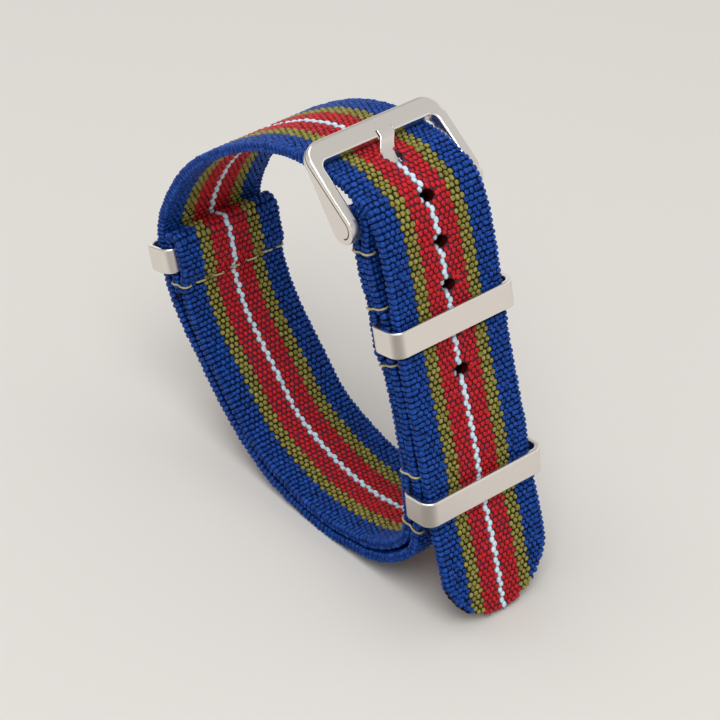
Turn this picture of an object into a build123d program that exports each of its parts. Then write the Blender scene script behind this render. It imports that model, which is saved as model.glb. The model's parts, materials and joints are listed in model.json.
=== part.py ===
"""Pass-through watch strap: striped webbing, a pin buckle with a tongue, three metal keepers, sewn rows."""
from build123d import *
import os
from math import acos, asin, atan2, cos, hypot, radians, sin, tan

os.makedirs("parts", exist_ok=True)

# Webbing
strap_width = 20.0
strap_thickness = 1.7
loop_square = 100.0          # side of the square in which the strap's side outline is drawn
loop_shift = 2.92            # along the floor, to bring the middle of the whole part to the origin
seam_gap = 0.08              # between two layers where thread holds them
bottom_gap = 0.5             # between the layers round the bottom of the loop
butt_gap = 0.05              # between the two webbing ends under the top sewn row
fold_back_length = 1.6       # from the top sewn row to the end that is folded back
arc_share = 0.45             # of the shorter run, taken by each rounded corner of a strap's line

# Adjustment holes
hole_count = 6
hole_pitch = 6.8
hole_diameter = 2.2
hole_lead = 1.0              # from where the tongue meets the strap's middle line to its hole's own middle

# Buckle
pin_diameter = 1.8
pin_clearance = 0.05
frame_length = 12.9          # from the pin's axis to the outer edge of the crossbar
arm_width = 1.7
frame_tilt = 34.0            # degrees that the frame leans down towards the pin
window_clearance = 0.6       # between the webbing's edge and each side arm
crossbar_width = 3.3
crossbar_thickness = 1.8
lobe_radius = 2.4            # round the pin; also the height of the frame's top above its axis
frame_corner_radius = 3.0
window_corner_radius = 1.2
frame_edge = 0.3             # the bright chamfer round the frame's top
pin_end_wall = 0.6
pin_end_clearance = 0.1
bore_clearance = 0.03

# Tongue
tongue_width = 2.7
tongue_thickness = 0.9
tongue_loop_wall = 0.7
tongue_clearance = 0.14
tongue_overlap = 1.0         # how far its tip lies on the crossbar
tongue_side_clearance = 0.25
tongue_bend_radius = 5.0
buckle_lift = 2.5            # degrees that the buckled frame can rise
tongue_lift = 2.5            # degrees that the buckled tongue can rise
tongue_aside = 1.6           # how far its tip has moved to one side of its hole
tongue_aside_run = 3.0       # from the crossbar to where it has come back to the middle
tongue_slot_room = 0.7       # beside it in its stretched hole, on the side to which it leans
lift_steps = 4               # places between lying and lifted at which its way is cut free
crossing_share = 0.60        # of the way from the pin to the crossbar, where it goes through the strap

# Keepers
keeper_wall = 0.9
keeper_height = 4.2
keeper_side_clearance = 0.7  # beside each edge of the webbing
keeper_corner_radius = 2.0
keeper_slack = 1.3           # free depth beside the two layers that a keeper holds
keeper_edge = 0.15
keeper_clearance = 0.08
keeper_travel = 0.6          # along the strap, from end to end
fold_room = 0.6              # below the end keeper's leg, inside the fold that holds it
end_keeper_tilt = 16.0       # degrees that the end keeper leans away from the loop
upper_seat_share = 0.45      # of its pocket's length, where a keeper's back leg sits
lower_seat_share = 0.50

# Thread
thread_width = 0.4
thread_height = 0.32
stitch_length = 2.2
stitch_count = 6
thread_clearance = 0.2

half = strap_thickness / 2
frame_rise = lobe_radius
window_width = strap_width + 2 * window_clearance
frame_width = window_width + 2 * arm_width
keeper_width = strap_width + 2 * (keeper_side_clearance + keeper_wall)
overrun = frame_width        # one length by which every cut runs past what it cuts


def place(shares):
    """A point of the outline, in millimetres, from its shares of the loop's square."""
    return Vector(shares[0] * loop_square + loop_shift, shares[1] * loop_square)


def turned(direction):
    """The direction a quarter turn to the left."""
    return Vector(-direction.Y, direction.X)


def corner_normal(points, i):
    """The direction, stretched as a mitre is, in which point i moves when its line is offset."""
    sides = []
    if i > 0:
        sides.append(turned((points[i] - points[i - 1]).normalized()))
    if i < len(points) - 1:
        sides.append(turned((points[i + 1] - points[i]).normalized()))
    if len(sides) == 1:
        return sides[0]
    return (sides[0] + sides[1]) * (1 / (1 + sides[0].dot(sides[1])))


def offset_line(points, distances):
    """The line of points moved sideways, each point by its own distance."""
    return [p + corner_normal(points, i) * d for i, (p, d) in enumerate(zip(points, distances))]


def corner_turn(points, i):
    """The signed turn, in radians, that the line makes at point i, positive to the left."""
    before = points[i] - points[i - 1]
    after = points[i + 1] - points[i]
    size = radians(before.get_angle(after))
    return size if turned(before).dot(after) > 0 else -size


def corner_radii(points):
    """A radius for each corner, as large as its two runs allow."""
    radii = []
    for i in range(1, len(points) - 1):
        run = min((points[i] - points[i - 1]).length, (points[i + 1] - points[i]).length)
        radii.append(arc_share * run / tan(abs(corner_turn(points, i)) / 2))
    return radii


def arc_middle(points, i):
    """The middle of the arc that rounds the line at point i."""
    before = points[i - 1] - points[i]
    after = points[i + 1] - points[i]
    reach = arc_share * min(before.length, after.length)
    inward = (before.normalized() + after.normalized()).normalized()
    return points[i] + inward * reach * tan(abs(corner_turn(points, i)) / 4)


def band_sketch(points, depth, radii=None):
    """A band of even depth along a line of rounded corners."""
    radii = radii or corner_radii(points)
    turns = [corner_turn(points, i) for i in range(1, len(points) - 1)]
    sides = []
    for side in (depth / 2, -depth / 2):
        line = offset_line(points, [side] * len(points))
        sides.append((line, [r - side if t > 0 else r + side for r, t in zip(radii, turns)]))
    (left, left_radii), (right, right_radii) = sides
    with BuildLine() as outline:
        FilletPolyline(*[(p.X, p.Y) for p in left], radius=left_radii)
        FilletPolyline(*[(p.X, p.Y) for p in right], radius=right_radii)
        Line((left[0].X, left[0].Y), (right[0].X, right[0].Y))
        Line((left[-1].X, left[-1].Y), (right[-1].X, right[-1].Y))
    make_face(outline.edges())


def cross_plane(point, direction):
    """The plane square to a strap's line at a point: its x runs across the strap."""
    return Plane(
        origin=(point.X, 0, point.Y),
        x_dir=(0, 1, 0),
        z_dir=(direction.X, 0, direction.Y),
    )


# Frame of the buckle: the pin's axis, the way along the frame and the way up from it
pin_shares = (0.109, 0.625)
pin_axis = place(pin_shares)
along = Vector(cos(radians(frame_tilt)), -sin(radians(frame_tilt)))
outward = Vector(sin(radians(frame_tilt)), cos(radians(frame_tilt)))


def on_frame(run, rise):
    """A point given from the pin's axis along the buckle's frame and up from it."""
    return pin_axis + along * run + outward * rise


side_plane = Plane(
    origin=(pin_axis.X, 0, pin_axis.Y),
    x_dir=(along.X, 0, along.Y),
    z_dir=(0, -1, 0),
)
plan_plane = Plane(
    origin=(pin_axis.X, 0, pin_axis.Y),
    x_dir=(along.X, 0, along.Y),
    z_dir=(outward.X, 0, outward.Y),
)

# Middle line between the two layers of the back leg and the bottom of the loop.
# Each row: its place as shares of the square, and what lies there.
SEWN, KEEPER, BOTTOM = "sewn", "keeper", "bottom"
middle_shares = [
    (0.1210, 0.5820, SEWN),
    (0.1320, 0.5450, SEWN),
    (0.1522, 0.5005, SEWN),
    (0.1582, 0.4895, KEEPER),
    (0.1712, 0.4305, KEEPER),
    (0.1814, 0.4165, SEWN),
    (0.2040, 0.3580, SEWN),
    (0.2210, 0.2940, SEWN),
    (0.2325, 0.2470, SEWN),
    (0.2350, 0.2340, KEEPER),
    (0.2425, 0.1740, KEEPER),
    (0.2380, 0.1530, SEWN),
    (0.2340, 0.1150, BOTTOM),
    (0.2150, 0.0910, BOTTOM),
    (0.1830, 0.0630, BOTTOM),
    (0.1390, 0.0395, BOTTOM),
    (0.0935, 0.0290, BOTTOM),
]
pocket_half = (strap_thickness + keeper_wall) / 2 + keeper_clearance
half_spacing = {
    SEWN: (strap_thickness + seam_gap) / 2,
    KEEPER: pocket_half,
    BOTTOM: (strap_thickness + bottom_gap) / 2,
}
bed_shares = [0.0460, -0.0150]                 # where the loop lies flat on what it stands on
middle = [place(row) for row in middle_shares]
bed_rise = half + half_spacing[BOTTOM]
middle += [Vector(share * loop_square + loop_shift, bed_rise) for share in bed_shares]
spacing = [half_spacing[row[2]] for row in middle_shares] + [half_spacing[BOTTOM]] * len(bed_shares)
outer_leg = offset_line(middle, spacing)
inner_leg = offset_line(middle, [-s for s in spacing])

# The leg runs down and round, so the left of its travel is the outside of the loop
pin_radius = pin_diameter / 2
fold_radius = pin_radius + 2 * pin_clearance + half
leg_up = (pin_axis - middle[0]).normalized()
leg_side = Vector(leg_up.Y, -leg_up.X)
leg_reach = (pin_axis - middle[0]).length
fold_lean = asin(fold_radius / hypot(half_spacing[SEWN], leg_reach)) - atan2(half_spacing[SEWN], leg_reach)
fold_side = half_spacing[SEWN] + tan(fold_lean) * (leg_reach + fold_radius)

# End keeper: its middle, the way up the strap and the way across it, towards the loop
end_up = Vector(-sin(radians(end_keeper_tilt)), cos(radians(end_keeper_tilt)))
end_across = Vector(end_up.Y, -end_up.X)
end_keeper_shares = (-0.3680, 0.3170)
end_keeper_middle = place(end_keeper_shares)
keeper_depth = 2 * (strap_thickness + keeper_wall) + keeper_slack
sewn_leg_middle = end_keeper_middle + end_across * (keeper_depth - keeper_wall) / 2

# The long strap runs in the lane between the end keeper's free leg and the fold
fold_outside = (keeper_depth - keeper_wall) / 2 - pocket_half - half
lane_middle = (fold_outside - keeper_depth / 2 + keeper_wall) / 2
lane_shares = [(-0.72, 1.30), (0.72, 0.70)]     # of the keeper's height, and of the lane's middle
lane = [
    end_keeper_middle + end_up * up * keeper_height + end_across * side * lane_middle
    for up, side in lane_shares
]

# Long strap: folded end, round the pin, down, round the loop, over the top and down the front
folded_end = inner_leg[0] + (inner_leg[1] - inner_leg[0]).normalized() * fold_back_length
back_shares = [
    (-0.0660, 0.0160),
    (-0.1155, 0.0255),
    (-0.1660, 0.0530),
    (-0.2135, 0.0865),
    (-0.2515, 0.1225),
    (-0.2860, 0.1625),
    (-0.3230, 0.2010),
    (-0.3555, 0.2430),
]
top_shares = [
    (-0.3770, 0.3830),
    (-0.3560, 0.4300),
    (-0.3250, 0.4815),
    (-0.2835, 0.5305),
    (-0.2260, 0.5780),
    (-0.1690, 0.6155),
    (-0.1190, 0.6430),
    (-0.0600, 0.6650),
]
# Under the crossbar and out through the window, as shares of the frame's length
window_shares = [(-0.934, -0.167), (-0.698, -0.018), (-0.388, 0.197)]
# Over the fold round the pin: degrees round the pin, and shares of the least radius there
over_pin_shares = [(97.0, 1.10), (55.0, 1.13), (8.0, 1.33)]
upper_front_shares = [(0.1690, 0.6030), (0.1810, 0.5640), (0.1905, 0.5290)]
lower_front_shares = [(0.2170, 0.4150), (0.2320, 0.3680), (0.2490, 0.3120), (0.2650, 0.2640)]
tip_shares = [(0.3030, 0.1350), (0.3200, 0.0760)]
tip_end_share = 0.3380
upper_lean_share = 0.10      # of a keeper's slack, by which the strap leans inside it
lower_lean_share = 0.55
tip_lean_share = 0.29        # of the half thickness, by which the leaning tip's edge hangs lower


def keeper_place(first, second, back_leg):
    """Middle, direction and way outwards of a keeper whose back leg lies between two points."""
    direction = (second - first).normalized()
    outwards = turned(direction)
    seat = first + (second - first) * back_leg
    return seat + outwards * (keeper_depth - keeper_wall) / 2, direction, outwards


upper_keeper_place = keeper_place(middle[3], middle[4], upper_seat_share)
lower_keeper_place = keeper_place(middle[9], middle[10], lower_seat_share)
front_seat = (keeper_depth - strap_thickness) / 2 - keeper_wall - keeper_clearance
pocket_foot = (keeper_height + keeper_travel) / 2 + keeper_clearance


def keeper_pass(place, lean_share):
    """The two points at which the strap's front run enters and leaves a keeper."""
    spot, direction, outwards = place
    entry = spot + outwards * (front_seat - lean_share * keeper_slack) - direction * pocket_foot
    return [entry, spot + outwards * front_seat + direction * pocket_foot]


tail_radius = fold_radius + half + keeper_clearance + half
over_pin = [
    pin_axis + Vector(cos(radians(turn)), sin(radians(turn))) * tail_radius * share
    for turn, share in over_pin_shares
]
long_line = [folded_end, inner_leg[0]]
long_line += [pin_axis + leg_up * fold_radius + leg_side * side for side in (-fold_side, fold_side)]
outer_start = len(long_line)
long_line += outer_leg
long_line += [place(row) for row in back_shares]
long_line += lane
long_line += [place(row) for row in top_shares]
long_line += [on_frame(run * frame_length, rise * frame_length) for run, rise in window_shares]
long_line += over_pin
long_line += [place(row) for row in upper_front_shares]
long_line += keeper_pass(upper_keeper_place, upper_lean_share)
long_line += [place(row) for row in lower_front_shares]
long_line += keeper_pass(lower_keeper_place, lower_lean_share)
long_line += [place(row) for row in tip_shares]
long_line += [Vector(tip_end_share * loop_square + loop_shift, half * tip_lean_share)]

# Short strap: butted to the folded end, down and round inside, its far end folded round a keeper
short_start = folded_end + (inner_leg[1] - inner_leg[0]).normalized() * butt_gap
inner_rise_shares = [
    (-0.0530, 0.0355),
    (-0.1010, 0.0480),
    (-0.1380, 0.0610),
    (-0.1720, 0.0800),
    (-0.2060, 0.1170),
    (-0.2430, 0.1530),
    (-0.2760, 0.1870),
    (-0.2970, 0.2130),
]
inner_end_shares = (-0.3140, 0.2460)
fold_seam_shares = (-0.3360, 0.2790)
pocket_head = keeper_height / 2 + keeper_travel / 2 + pocket_half
fold_tail = 2.4              # of webbing below the row that closes the fold
fold_seam = place(fold_seam_shares)
inner_end = place(inner_end_shares)
inner_seam = fold_seam + end_across * half_spacing[SEWN]
outer_seam = fold_seam - end_across * half_spacing[SEWN]
short_line = [short_start] + inner_leg[1:]
short_line += [place(row) for row in inner_rise_shares]
short_line += [
    inner_end,
    inner_seam,
    sewn_leg_middle - end_up * (pocket_foot + fold_room) + end_across * pocket_half,
    sewn_leg_middle + end_up * pocket_head + end_across * pocket_half,
    sewn_leg_middle + end_up * pocket_head - end_across * pocket_half,
    sewn_leg_middle - end_up * (pocket_foot + fold_room) - end_across * pocket_half,
    outer_seam,
    outer_seam + (inner_end - inner_seam).normalized() * fold_tail,
]

# The long strap's middle line, on which the holes are measured
with BuildLine(Plane.XZ) as long_route:
    FilletPolyline(*[(p.X, p.Y) for p in long_line], radius=corner_radii(long_line))
route = long_route.wires()[0]

# Tongue: from the top of its loop on the pin, through the strap, to its seat on the crossbar
tongue_seat = frame_rise - tongue_thickness / 2
loop_radius = pin_radius + pin_clearance + tongue_loop_wall
tongue_root_rise = loop_radius - tongue_thickness / 2
tip_plane_side = side_plane.offset(-tongue_aside)
slot_plane_side = side_plane.offset(-tongue_slot_room / 2)
window_edge = frame_length - crossbar_width
crossing = on_frame(-crossing_share * window_edge, tongue_seat)
nearest = route.distance_to_with_closest_points(Vector(crossing.X, 0, crossing.Y))[1]
first_hole = route.param_at_point(nearest) * route.length


def tongue_line(lift):
    """The tongue's middle line when it is lifted by so many degrees about the pin."""
    reach = window_edge + tongue_overlap
    runs = [(0, tongue_root_rise), (-window_edge / 2, tongue_seat), (-reach, tongue_seat)]
    rotated = []
    for run, rise in runs:
        turn = radians(lift)
        rotated.append(Vector(run * cos(turn) + rise * sin(turn), rise * cos(turn) - run * sin(turn)))
    return rotated


with BuildPart() as long_strap:
    with BuildSketch(Plane.XZ):
        band_sketch(long_line, strap_thickness)
    extrude(amount=strap_width / 2, both=True)
    # The tip is rounded across its whole width
    tip_way = (long_line[-1] - long_line[-2]).normalized()
    tip_plane = Plane(
        origin=(long_line[-1].X, 0, long_line[-1].Y),
        x_dir=(0, 1, 0),
        z_dir=(-turned(tip_way).X, 0, -turned(tip_way).Y),
    )
    with BuildSketch(tip_plane):
        Rectangle(strap_width + thread_width, strap_width + thread_width)
        with Locations((0, -strap_width / 2)):
            Circle(strap_width / 2, mode=Mode.SUBTRACT)
            with Locations((0, -strap_width / 2)):
                Rectangle(strap_width, strap_width, mode=Mode.SUBTRACT)
    extrude(amount=strap_thickness * 2, both=True, mode=Mode.SUBTRACT)
    # Round holes down the front, from the one beside the tongue's
    for i in range(1, hole_count):
        place = first_hole + hole_lead + i * hole_pitch
        spot = route.position_at(place, position_mode=PositionMode.LENGTH)
        way = route.tangent_at(place, position_mode=PositionMode.LENGTH)
        with BuildSketch(Plane(origin=spot, x_dir=(0, 1, 0), z_dir=(way.Z, 0, -way.X))):
            Circle(hole_diameter / 2)
        extrude(amount=strap_thickness, both=True, mode=Mode.SUBTRACT)
    # The hole that the tongue holds open, slanted as the tongue is, with room for its lift
    for step in range(lift_steps + 1):
        with BuildSketch(slot_plane_side):
            band_sketch(
                tongue_line((buckle_lift + tongue_lift) * step / lift_steps),
                tongue_thickness + 2 * tongue_clearance,
                [tongue_bend_radius],
            )
        slot_half = (tongue_width + tongue_slot_room) / 2 + tongue_clearance
        extrude(amount=slot_half, both=True, mode=Mode.SUBTRACT)
    # The slot in the fold round the pin, where the tongue's loop sits
    with BuildSketch(Plane.XZ):
        with Locations((pin_axis.X, pin_axis.Y)):
            Circle(fold_radius + strap_thickness)
    extrude(amount=tongue_width / 2 + tongue_side_clearance, both=True, mode=Mode.SUBTRACT)
long_strap.part.label = "long_strap"
export_step(long_strap.part, "parts/long_strap.step")

with BuildPart() as short_strap:
    with BuildSketch(Plane.XZ):
        band_sketch(short_line, strap_thickness)
    extrude(amount=strap_width / 2, both=True)
short_strap.part.label = "short_strap"
export_step(short_strap.part, "parts/short_strap.step")

# Buckle frame: a crossbar and two side arms that end in round lobes on the pin
crossbar_foot = frame_rise - crossbar_thickness
foot_reach = hypot(window_edge, crossbar_foot)
lobe_turn = atan2(crossbar_foot, -window_edge) + acos(lobe_radius / foot_reach)
lobe_foot = (lobe_radius * cos(lobe_turn), lobe_radius * sin(lobe_turn))
pin_length = frame_width - 2 * (pin_end_wall + pin_end_clearance)
with BuildPart() as buckle_frame:
    with BuildSketch(side_plane):
        with BuildLine():
            Line((-frame_length, frame_rise), (0, frame_rise))
            ThreePointArc((0, frame_rise), (lobe_radius, 0), lobe_foot)
            Line(lobe_foot, (-window_edge, crossbar_foot))
            Line((-window_edge, crossbar_foot), (-frame_length, crossbar_foot))
            Line((-frame_length, crossbar_foot), (-frame_length, frame_rise))
        make_face()
    extrude(amount=frame_width / 2, both=True)
    with BuildSketch(plan_plane):
        with Locations((-window_edge, 0)):
            Rectangle(overrun, window_width, align=(Align.MIN, Align.CENTER))
        fillet(vertices().group_by(Axis.X)[0], window_corner_radius)
    extrude(amount=overrun, both=True, mode=Mode.SUBTRACT)
    end_edges = edges().filter_by(Axis((0, 0, 0), (outward.X, 0, outward.Y)))
    fillet(end_edges.sort_by(Axis((0, 0, 0), (along.X, 0, along.Y)))[:2], frame_corner_radius)
    with BuildSketch(side_plane):
        Circle(pin_radius + bore_clearance)
    extrude(amount=pin_length / 2 + pin_end_clearance, both=True, mode=Mode.SUBTRACT)
    top_face = faces().sort_by(Axis((0, 0, 0), (outward.X, 0, outward.Y)))[-1]
    chamfer(top_face.edges(), frame_edge)
    # The notch in which the tongue's tip lies
    with BuildSketch(tip_plane_side):
        notch_end = -window_edge - tongue_overlap - tongue_clearance
        with Locations((notch_end, frame_rise - tongue_thickness - tongue_clearance)):
            Rectangle(overrun, overrun, align=(Align.MIN, Align.MIN))
    extrude(amount=tongue_width / 2 + tongue_side_clearance, both=True, mode=Mode.SUBTRACT)
buckle_frame.part.label = "buckle_frame"
export_step(buckle_frame.part, "parts/buckle_frame.step")

with BuildPart() as pin_bar:
    with BuildSketch(side_plane):
        Circle(pin_radius)
    extrude(amount=pin_length / 2, both=True)
pin_bar.part.label = "pin_bar"
export_step(pin_bar.part, "parts/pin_bar.step")

# Tongue: seen from above it leans aside between its hole and the crossbar
tongue_half = tongue_width / 2
tongue_sides = [
    (-overrun, tongue_aside),
    (-window_edge, tongue_aside),
    (-window_edge + tongue_aside_run, 0),
    (overrun, 0),
]
tongue_outline = [(run, middle + tongue_half) for run, middle in tongue_sides]
tongue_outline += [(run, middle - tongue_half) for run, middle in reversed(tongue_sides)]
with BuildPart() as tongue:
    with BuildSketch(side_plane):
        band_sketch(tongue_line(0), tongue_thickness, [tongue_bend_radius])
        Circle(loop_radius)
        Circle(pin_radius + pin_clearance, mode=Mode.SUBTRACT)
    extrude(amount=tongue_half + tongue_aside, both=True)
    with BuildSketch(plan_plane):
        with BuildLine():
            Polyline(*tongue_outline, close=True)
        make_face()
    extrude(amount=overrun, both=True, mode=Mode.INTERSECT)
tongue.part.label = "tongue"
export_step(tongue.part, "parts/tongue.step")


def make_keeper(name, spot, direction, depth):
    """A flat metal ring with rounded corners, square to the strap's line."""
    with BuildPart() as keeper:
        with BuildSketch(cross_plane(spot, direction)):
            RectangleRounded(keeper_width, depth, keeper_corner_radius)
            RectangleRounded(
                keeper_width - 2 * keeper_wall,
                depth - 2 * keeper_wall,
                keeper_corner_radius - keeper_wall,
                mode=Mode.SUBTRACT,
            )
        extrude(amount=keeper_height / 2, both=True)
        end_faces = faces().sort_by(Axis((0, 0, 0), (direction.X, 0, direction.Y)))
        chamfer(end_faces[0].edges() + end_faces[-1].edges(), keeper_edge)
    keeper.part.label = name
    export_step(keeper.part, "parts/" + name + ".step")
    return keeper


upper_keeper = make_keeper("upper_keeper", upper_keeper_place[0], upper_keeper_place[1], keeper_depth)
lower_keeper = make_keeper("lower_keeper", lower_keeper_place[0], lower_keeper_place[1], keeper_depth)
end_keeper = make_keeper("end_keeper", end_keeper_middle, end_up, keeper_depth)


def make_stitch_row(name, inner_spot, outer_spot):
    """A sewn row: short stitches on both faces of two layers, and one wrapped round each edge."""
    stack = (outer_spot - inner_spot).length / 2 + half + thread_clearance
    spot = (outer_spot + inner_spot) * 0.5
    direction = turned(outer_spot - inner_spot).normalized()
    pitch = strap_width / stitch_count
    edge_face = strap_width / 2 + thread_clearance
    with BuildPart() as row:
        with BuildSketch(cross_plane(spot, direction)):
            for i in range(1, stitch_count):
                for side in (1, -1):
                    with Locations((i * pitch - strap_width / 2, side * (stack + thread_height / 2))):
                        Rectangle(stitch_length, thread_height)
            for side, edge in ((1, Align.MAX), (-1, Align.MIN)):
                with Locations((side * (edge_face + thread_height), 0)):
                    Rectangle(stitch_length / 2, 2 * (stack + thread_height), align=(edge, Align.CENTER))
                with Locations((side * edge_face, 0)):
                    Rectangle(stitch_length, 2 * stack, align=(edge, Align.CENTER), mode=Mode.SUBTRACT)
        extrude(amount=thread_width / 2, both=True)
    row.part.label = name
    export_step(row.part, "parts/" + name + ".step")
    return row


make_stitch_row("stitch_row_1", arc_middle(long_line, 1), arc_middle(long_line, outer_start))
for number, corner in enumerate((2, 5, 8, 11), start=2):
    inner_spot = arc_middle(short_line, corner)
    outer_spot = arc_middle(long_line, outer_start + corner)
    make_stitch_row("stitch_row_" + str(number), inner_spot, outer_spot)
inner_spot = arc_middle(short_line, short_line.index(inner_seam))
outer_spot = arc_middle(short_line, short_line.index(outer_seam))
make_stitch_row("fold_stitch_row", inner_spot, outer_spot)
print("long strap centre line", round(route.length, 1), "mm; first hole at", round(first_hole, 1))
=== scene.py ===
"""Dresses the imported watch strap: woven webbing, sewing thread and satin metal, on a plain pale floor."""

import json
import logging
import math
from dataclasses import dataclass, field
from enum import Enum, IntEnum

import bmesh
import bpy
import numpy as np
from bmesh.types import BMEdge, BMesh, BMFace, BMVert
from bpy.types import ID, Curve, Material, Mesh, Node, NodeInputs, NodeSocket, NodeTree, Object
from mathutils import Matrix, Vector


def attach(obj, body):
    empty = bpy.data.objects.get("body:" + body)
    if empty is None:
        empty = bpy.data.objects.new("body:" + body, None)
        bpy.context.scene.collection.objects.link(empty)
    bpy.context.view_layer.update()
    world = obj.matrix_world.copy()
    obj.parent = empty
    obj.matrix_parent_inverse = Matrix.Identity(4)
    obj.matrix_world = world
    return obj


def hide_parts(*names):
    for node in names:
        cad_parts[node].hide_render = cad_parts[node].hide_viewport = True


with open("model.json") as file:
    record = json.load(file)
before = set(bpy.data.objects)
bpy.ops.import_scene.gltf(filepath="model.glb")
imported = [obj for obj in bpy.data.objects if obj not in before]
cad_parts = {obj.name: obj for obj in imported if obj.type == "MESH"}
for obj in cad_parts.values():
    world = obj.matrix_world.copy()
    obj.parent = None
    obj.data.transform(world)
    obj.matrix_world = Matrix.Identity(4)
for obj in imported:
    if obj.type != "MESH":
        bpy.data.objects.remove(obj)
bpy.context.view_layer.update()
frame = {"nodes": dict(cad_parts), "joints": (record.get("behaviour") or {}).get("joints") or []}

log = logging.getLogger("watch_strap")
MM = 0.001
# Points that are closer to each other than this are one point
NEAR = MM / 1000
FLAT = "flat"
# How far the buckle leans from level, in degrees
BUCKLE_TILT = 34.0
Colour = tuple[float, float, float]
Place = tuple[float, float, float]


class Yarn(Enum):
    """The colours that the webbing is woven in, from its edges to its middle."""

    BLUE = "blue"
    OLIVE = "olive"
    RED = "red"
    WHITE = "white"


class Body(Enum):
    """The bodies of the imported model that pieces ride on."""

    STRAP = "strap"
    BUCKLE = "buckle"
    TONGUE = "tongue_piece"


class Slot(IntEnum):
    """The material slots of a metal piece."""

    SATIN = 0
    POLISHED = 1
    GAP = 2


# Nodes


def feed(tree: NodeTree, socket: NodeSocket, value: object) -> None:
    """Links a value to an input socket if it is a socket too, and otherwise sets the input to it.

    Args:
        tree: The node tree.
        socket: The input socket.
        value: The socket or plain value.
    """
    if isinstance(value, NodeSocket):
        tree.links.new(value, socket)
    else:
        socket.default_value = value


def add_node(tree: NodeTree, kind: str, **values: object) -> Node:
    """Adds a shader node and feeds its input sockets by name.

    Args:
        tree: The node tree that gets the node.
        kind: The node's type, such as ShaderNodeBump.
        values: Input socket names, with _ for a space, and a socket or a plain value for each.

    Returns:
        The new node.
    """
    node = tree.nodes.new(kind)
    for name, value in values.items():
        feed(tree, node.inputs[name.replace("_", " ")], value)
    return node


def math_node(tree: NodeTree, operation: str, first: object, second: object = 0.0) -> NodeSocket:
    """Adds a Math node.

    Args:
        tree: The node tree that gets the node.
        operation: The node's operation.
        first: A socket or a number for the first value.
        second: A socket or a number for the second value.

    Returns:
        The node's output socket.
    """
    node = tree.nodes.new("ShaderNodeMath")
    node.operation = operation
    for socket, value in zip(node.inputs, (first, second)):
        feed(tree, socket, value)
    return node.outputs[0]


def vector_node(tree: NodeTree, operation: str, *values: object) -> NodeSocket:
    """Adds a Vector Math node.

    Args:
        tree: The node tree that gets the node.
        operation: The node's operation.
        values: A socket or a vector for each vector that it takes, and for SCALE the factor last.

    Returns:
        The output socket that holds the result.
    """
    node = tree.nodes.new("ShaderNodeVectorMath")
    node.operation = operation
    for key, value in zip(("Vector", "Scale") if operation == "SCALE" else (0, 1), values):
        feed(tree, node.inputs[key], value)
    return node.outputs["Value" if operation in ("LENGTH", "DOT_PRODUCT") else "Vector"]


def mix_node(
    tree: NodeTree, share: object, first: object, second: object, kind: str = "RGBA"
) -> NodeSocket:
    """Adds a Mix node.

    Args:
        tree: The node tree that gets the node.
        share: A socket or a number for the share of the second value.
        first: A socket or a plain first value.
        second: A socket or a plain second value.
        kind: What is mixed, RGBA or FLOAT.

    Returns:
        The node's output socket.
    """
    node = tree.nodes.new("ShaderNodeMix")
    node.data_type = kind
    for name, value in (("Factor", share), ("A", first), ("B", second)):
        feed(tree, node.inputs[name], value)
    return node.outputs["Result"]


def range_node(
    tree: NodeTree,
    value: object,
    low: float = 0.0,
    high: float = 1.0,
    to_low: float = 0.0,
    to_high: float = 1.0,
) -> Node:
    """Adds a Map Range node.

    Args:
        tree: The node tree that gets the node.
        value: A socket for the value.
        low: The value that becomes to_low.
        high: The value that becomes to_high.
        to_low: What low becomes.
        to_high: What high becomes.

    Returns:
        The new node, whose first output is the result.
    """
    ends = {"From_Min": low, "From_Max": high, "To_Min": to_low, "To_Max": to_high}
    return add_node(tree, "ShaderNodeMapRange", Value=value, **ends)


def flat_place(tree: NodeTree) -> NodeSocket:
    """Adds the node that reads a piece's flat coordinates.

    Args:
        tree: The node tree that gets the node.

    Returns:
        The node's output socket.
    """
    node = tree.nodes.new("ShaderNodeAttribute")
    node.attribute_name = FLAT
    return node.outputs["Vector"]


def new_group(name: str, inputs: list[tuple[str, str, object]], outputs: list[tuple[str, str]]) -> NodeTree:
    """Makes an empty shader node group with named sockets.

    Args:
        name: The group's name.
        inputs: Name, socket kind and first value of each input.
        outputs: Name and socket kind of each output.

    Returns:
        The group, which holds its input and output nodes.
    """
    tree = bpy.data.node_groups.new(name, "ShaderNodeTree")
    for label, kind, value in inputs:
        socket = tree.interface.new_socket(label, in_out="INPUT", socket_type=kind)
        socket.default_value = value
    for label, kind in outputs:
        tree.interface.new_socket(label, in_out="OUTPUT", socket_type=kind)
    tree.nodes.new("NodeGroupInput")
    tree.nodes.new("NodeGroupOutput")
    return tree


def new_material(name: str) -> tuple[Material, NodeTree, NodeInputs]:
    """Makes a material.

    Args:
        name: The material's name.

    Returns:
        The material, its nodes and the inputs of its shader.
    """
    material = bpy.data.materials.new(name)
    material.use_nodes = True
    return material, material.node_tree, material.node_tree.nodes["Principled BSDF"].inputs


def use_group(tree: NodeTree, group: NodeTree, **values: object) -> Node:
    """Adds a node group to a tree.

    Args:
        tree: The node tree that gets the group.
        group: The group.
        values: The group's input names and their values.

    Returns:
        The group's node.
    """
    node = tree.nodes.new("ShaderNodeGroup")
    node.node_tree = group
    for name, value in values.items():
        feed(tree, node.inputs[name], value)
    return node


# Finishes


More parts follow.
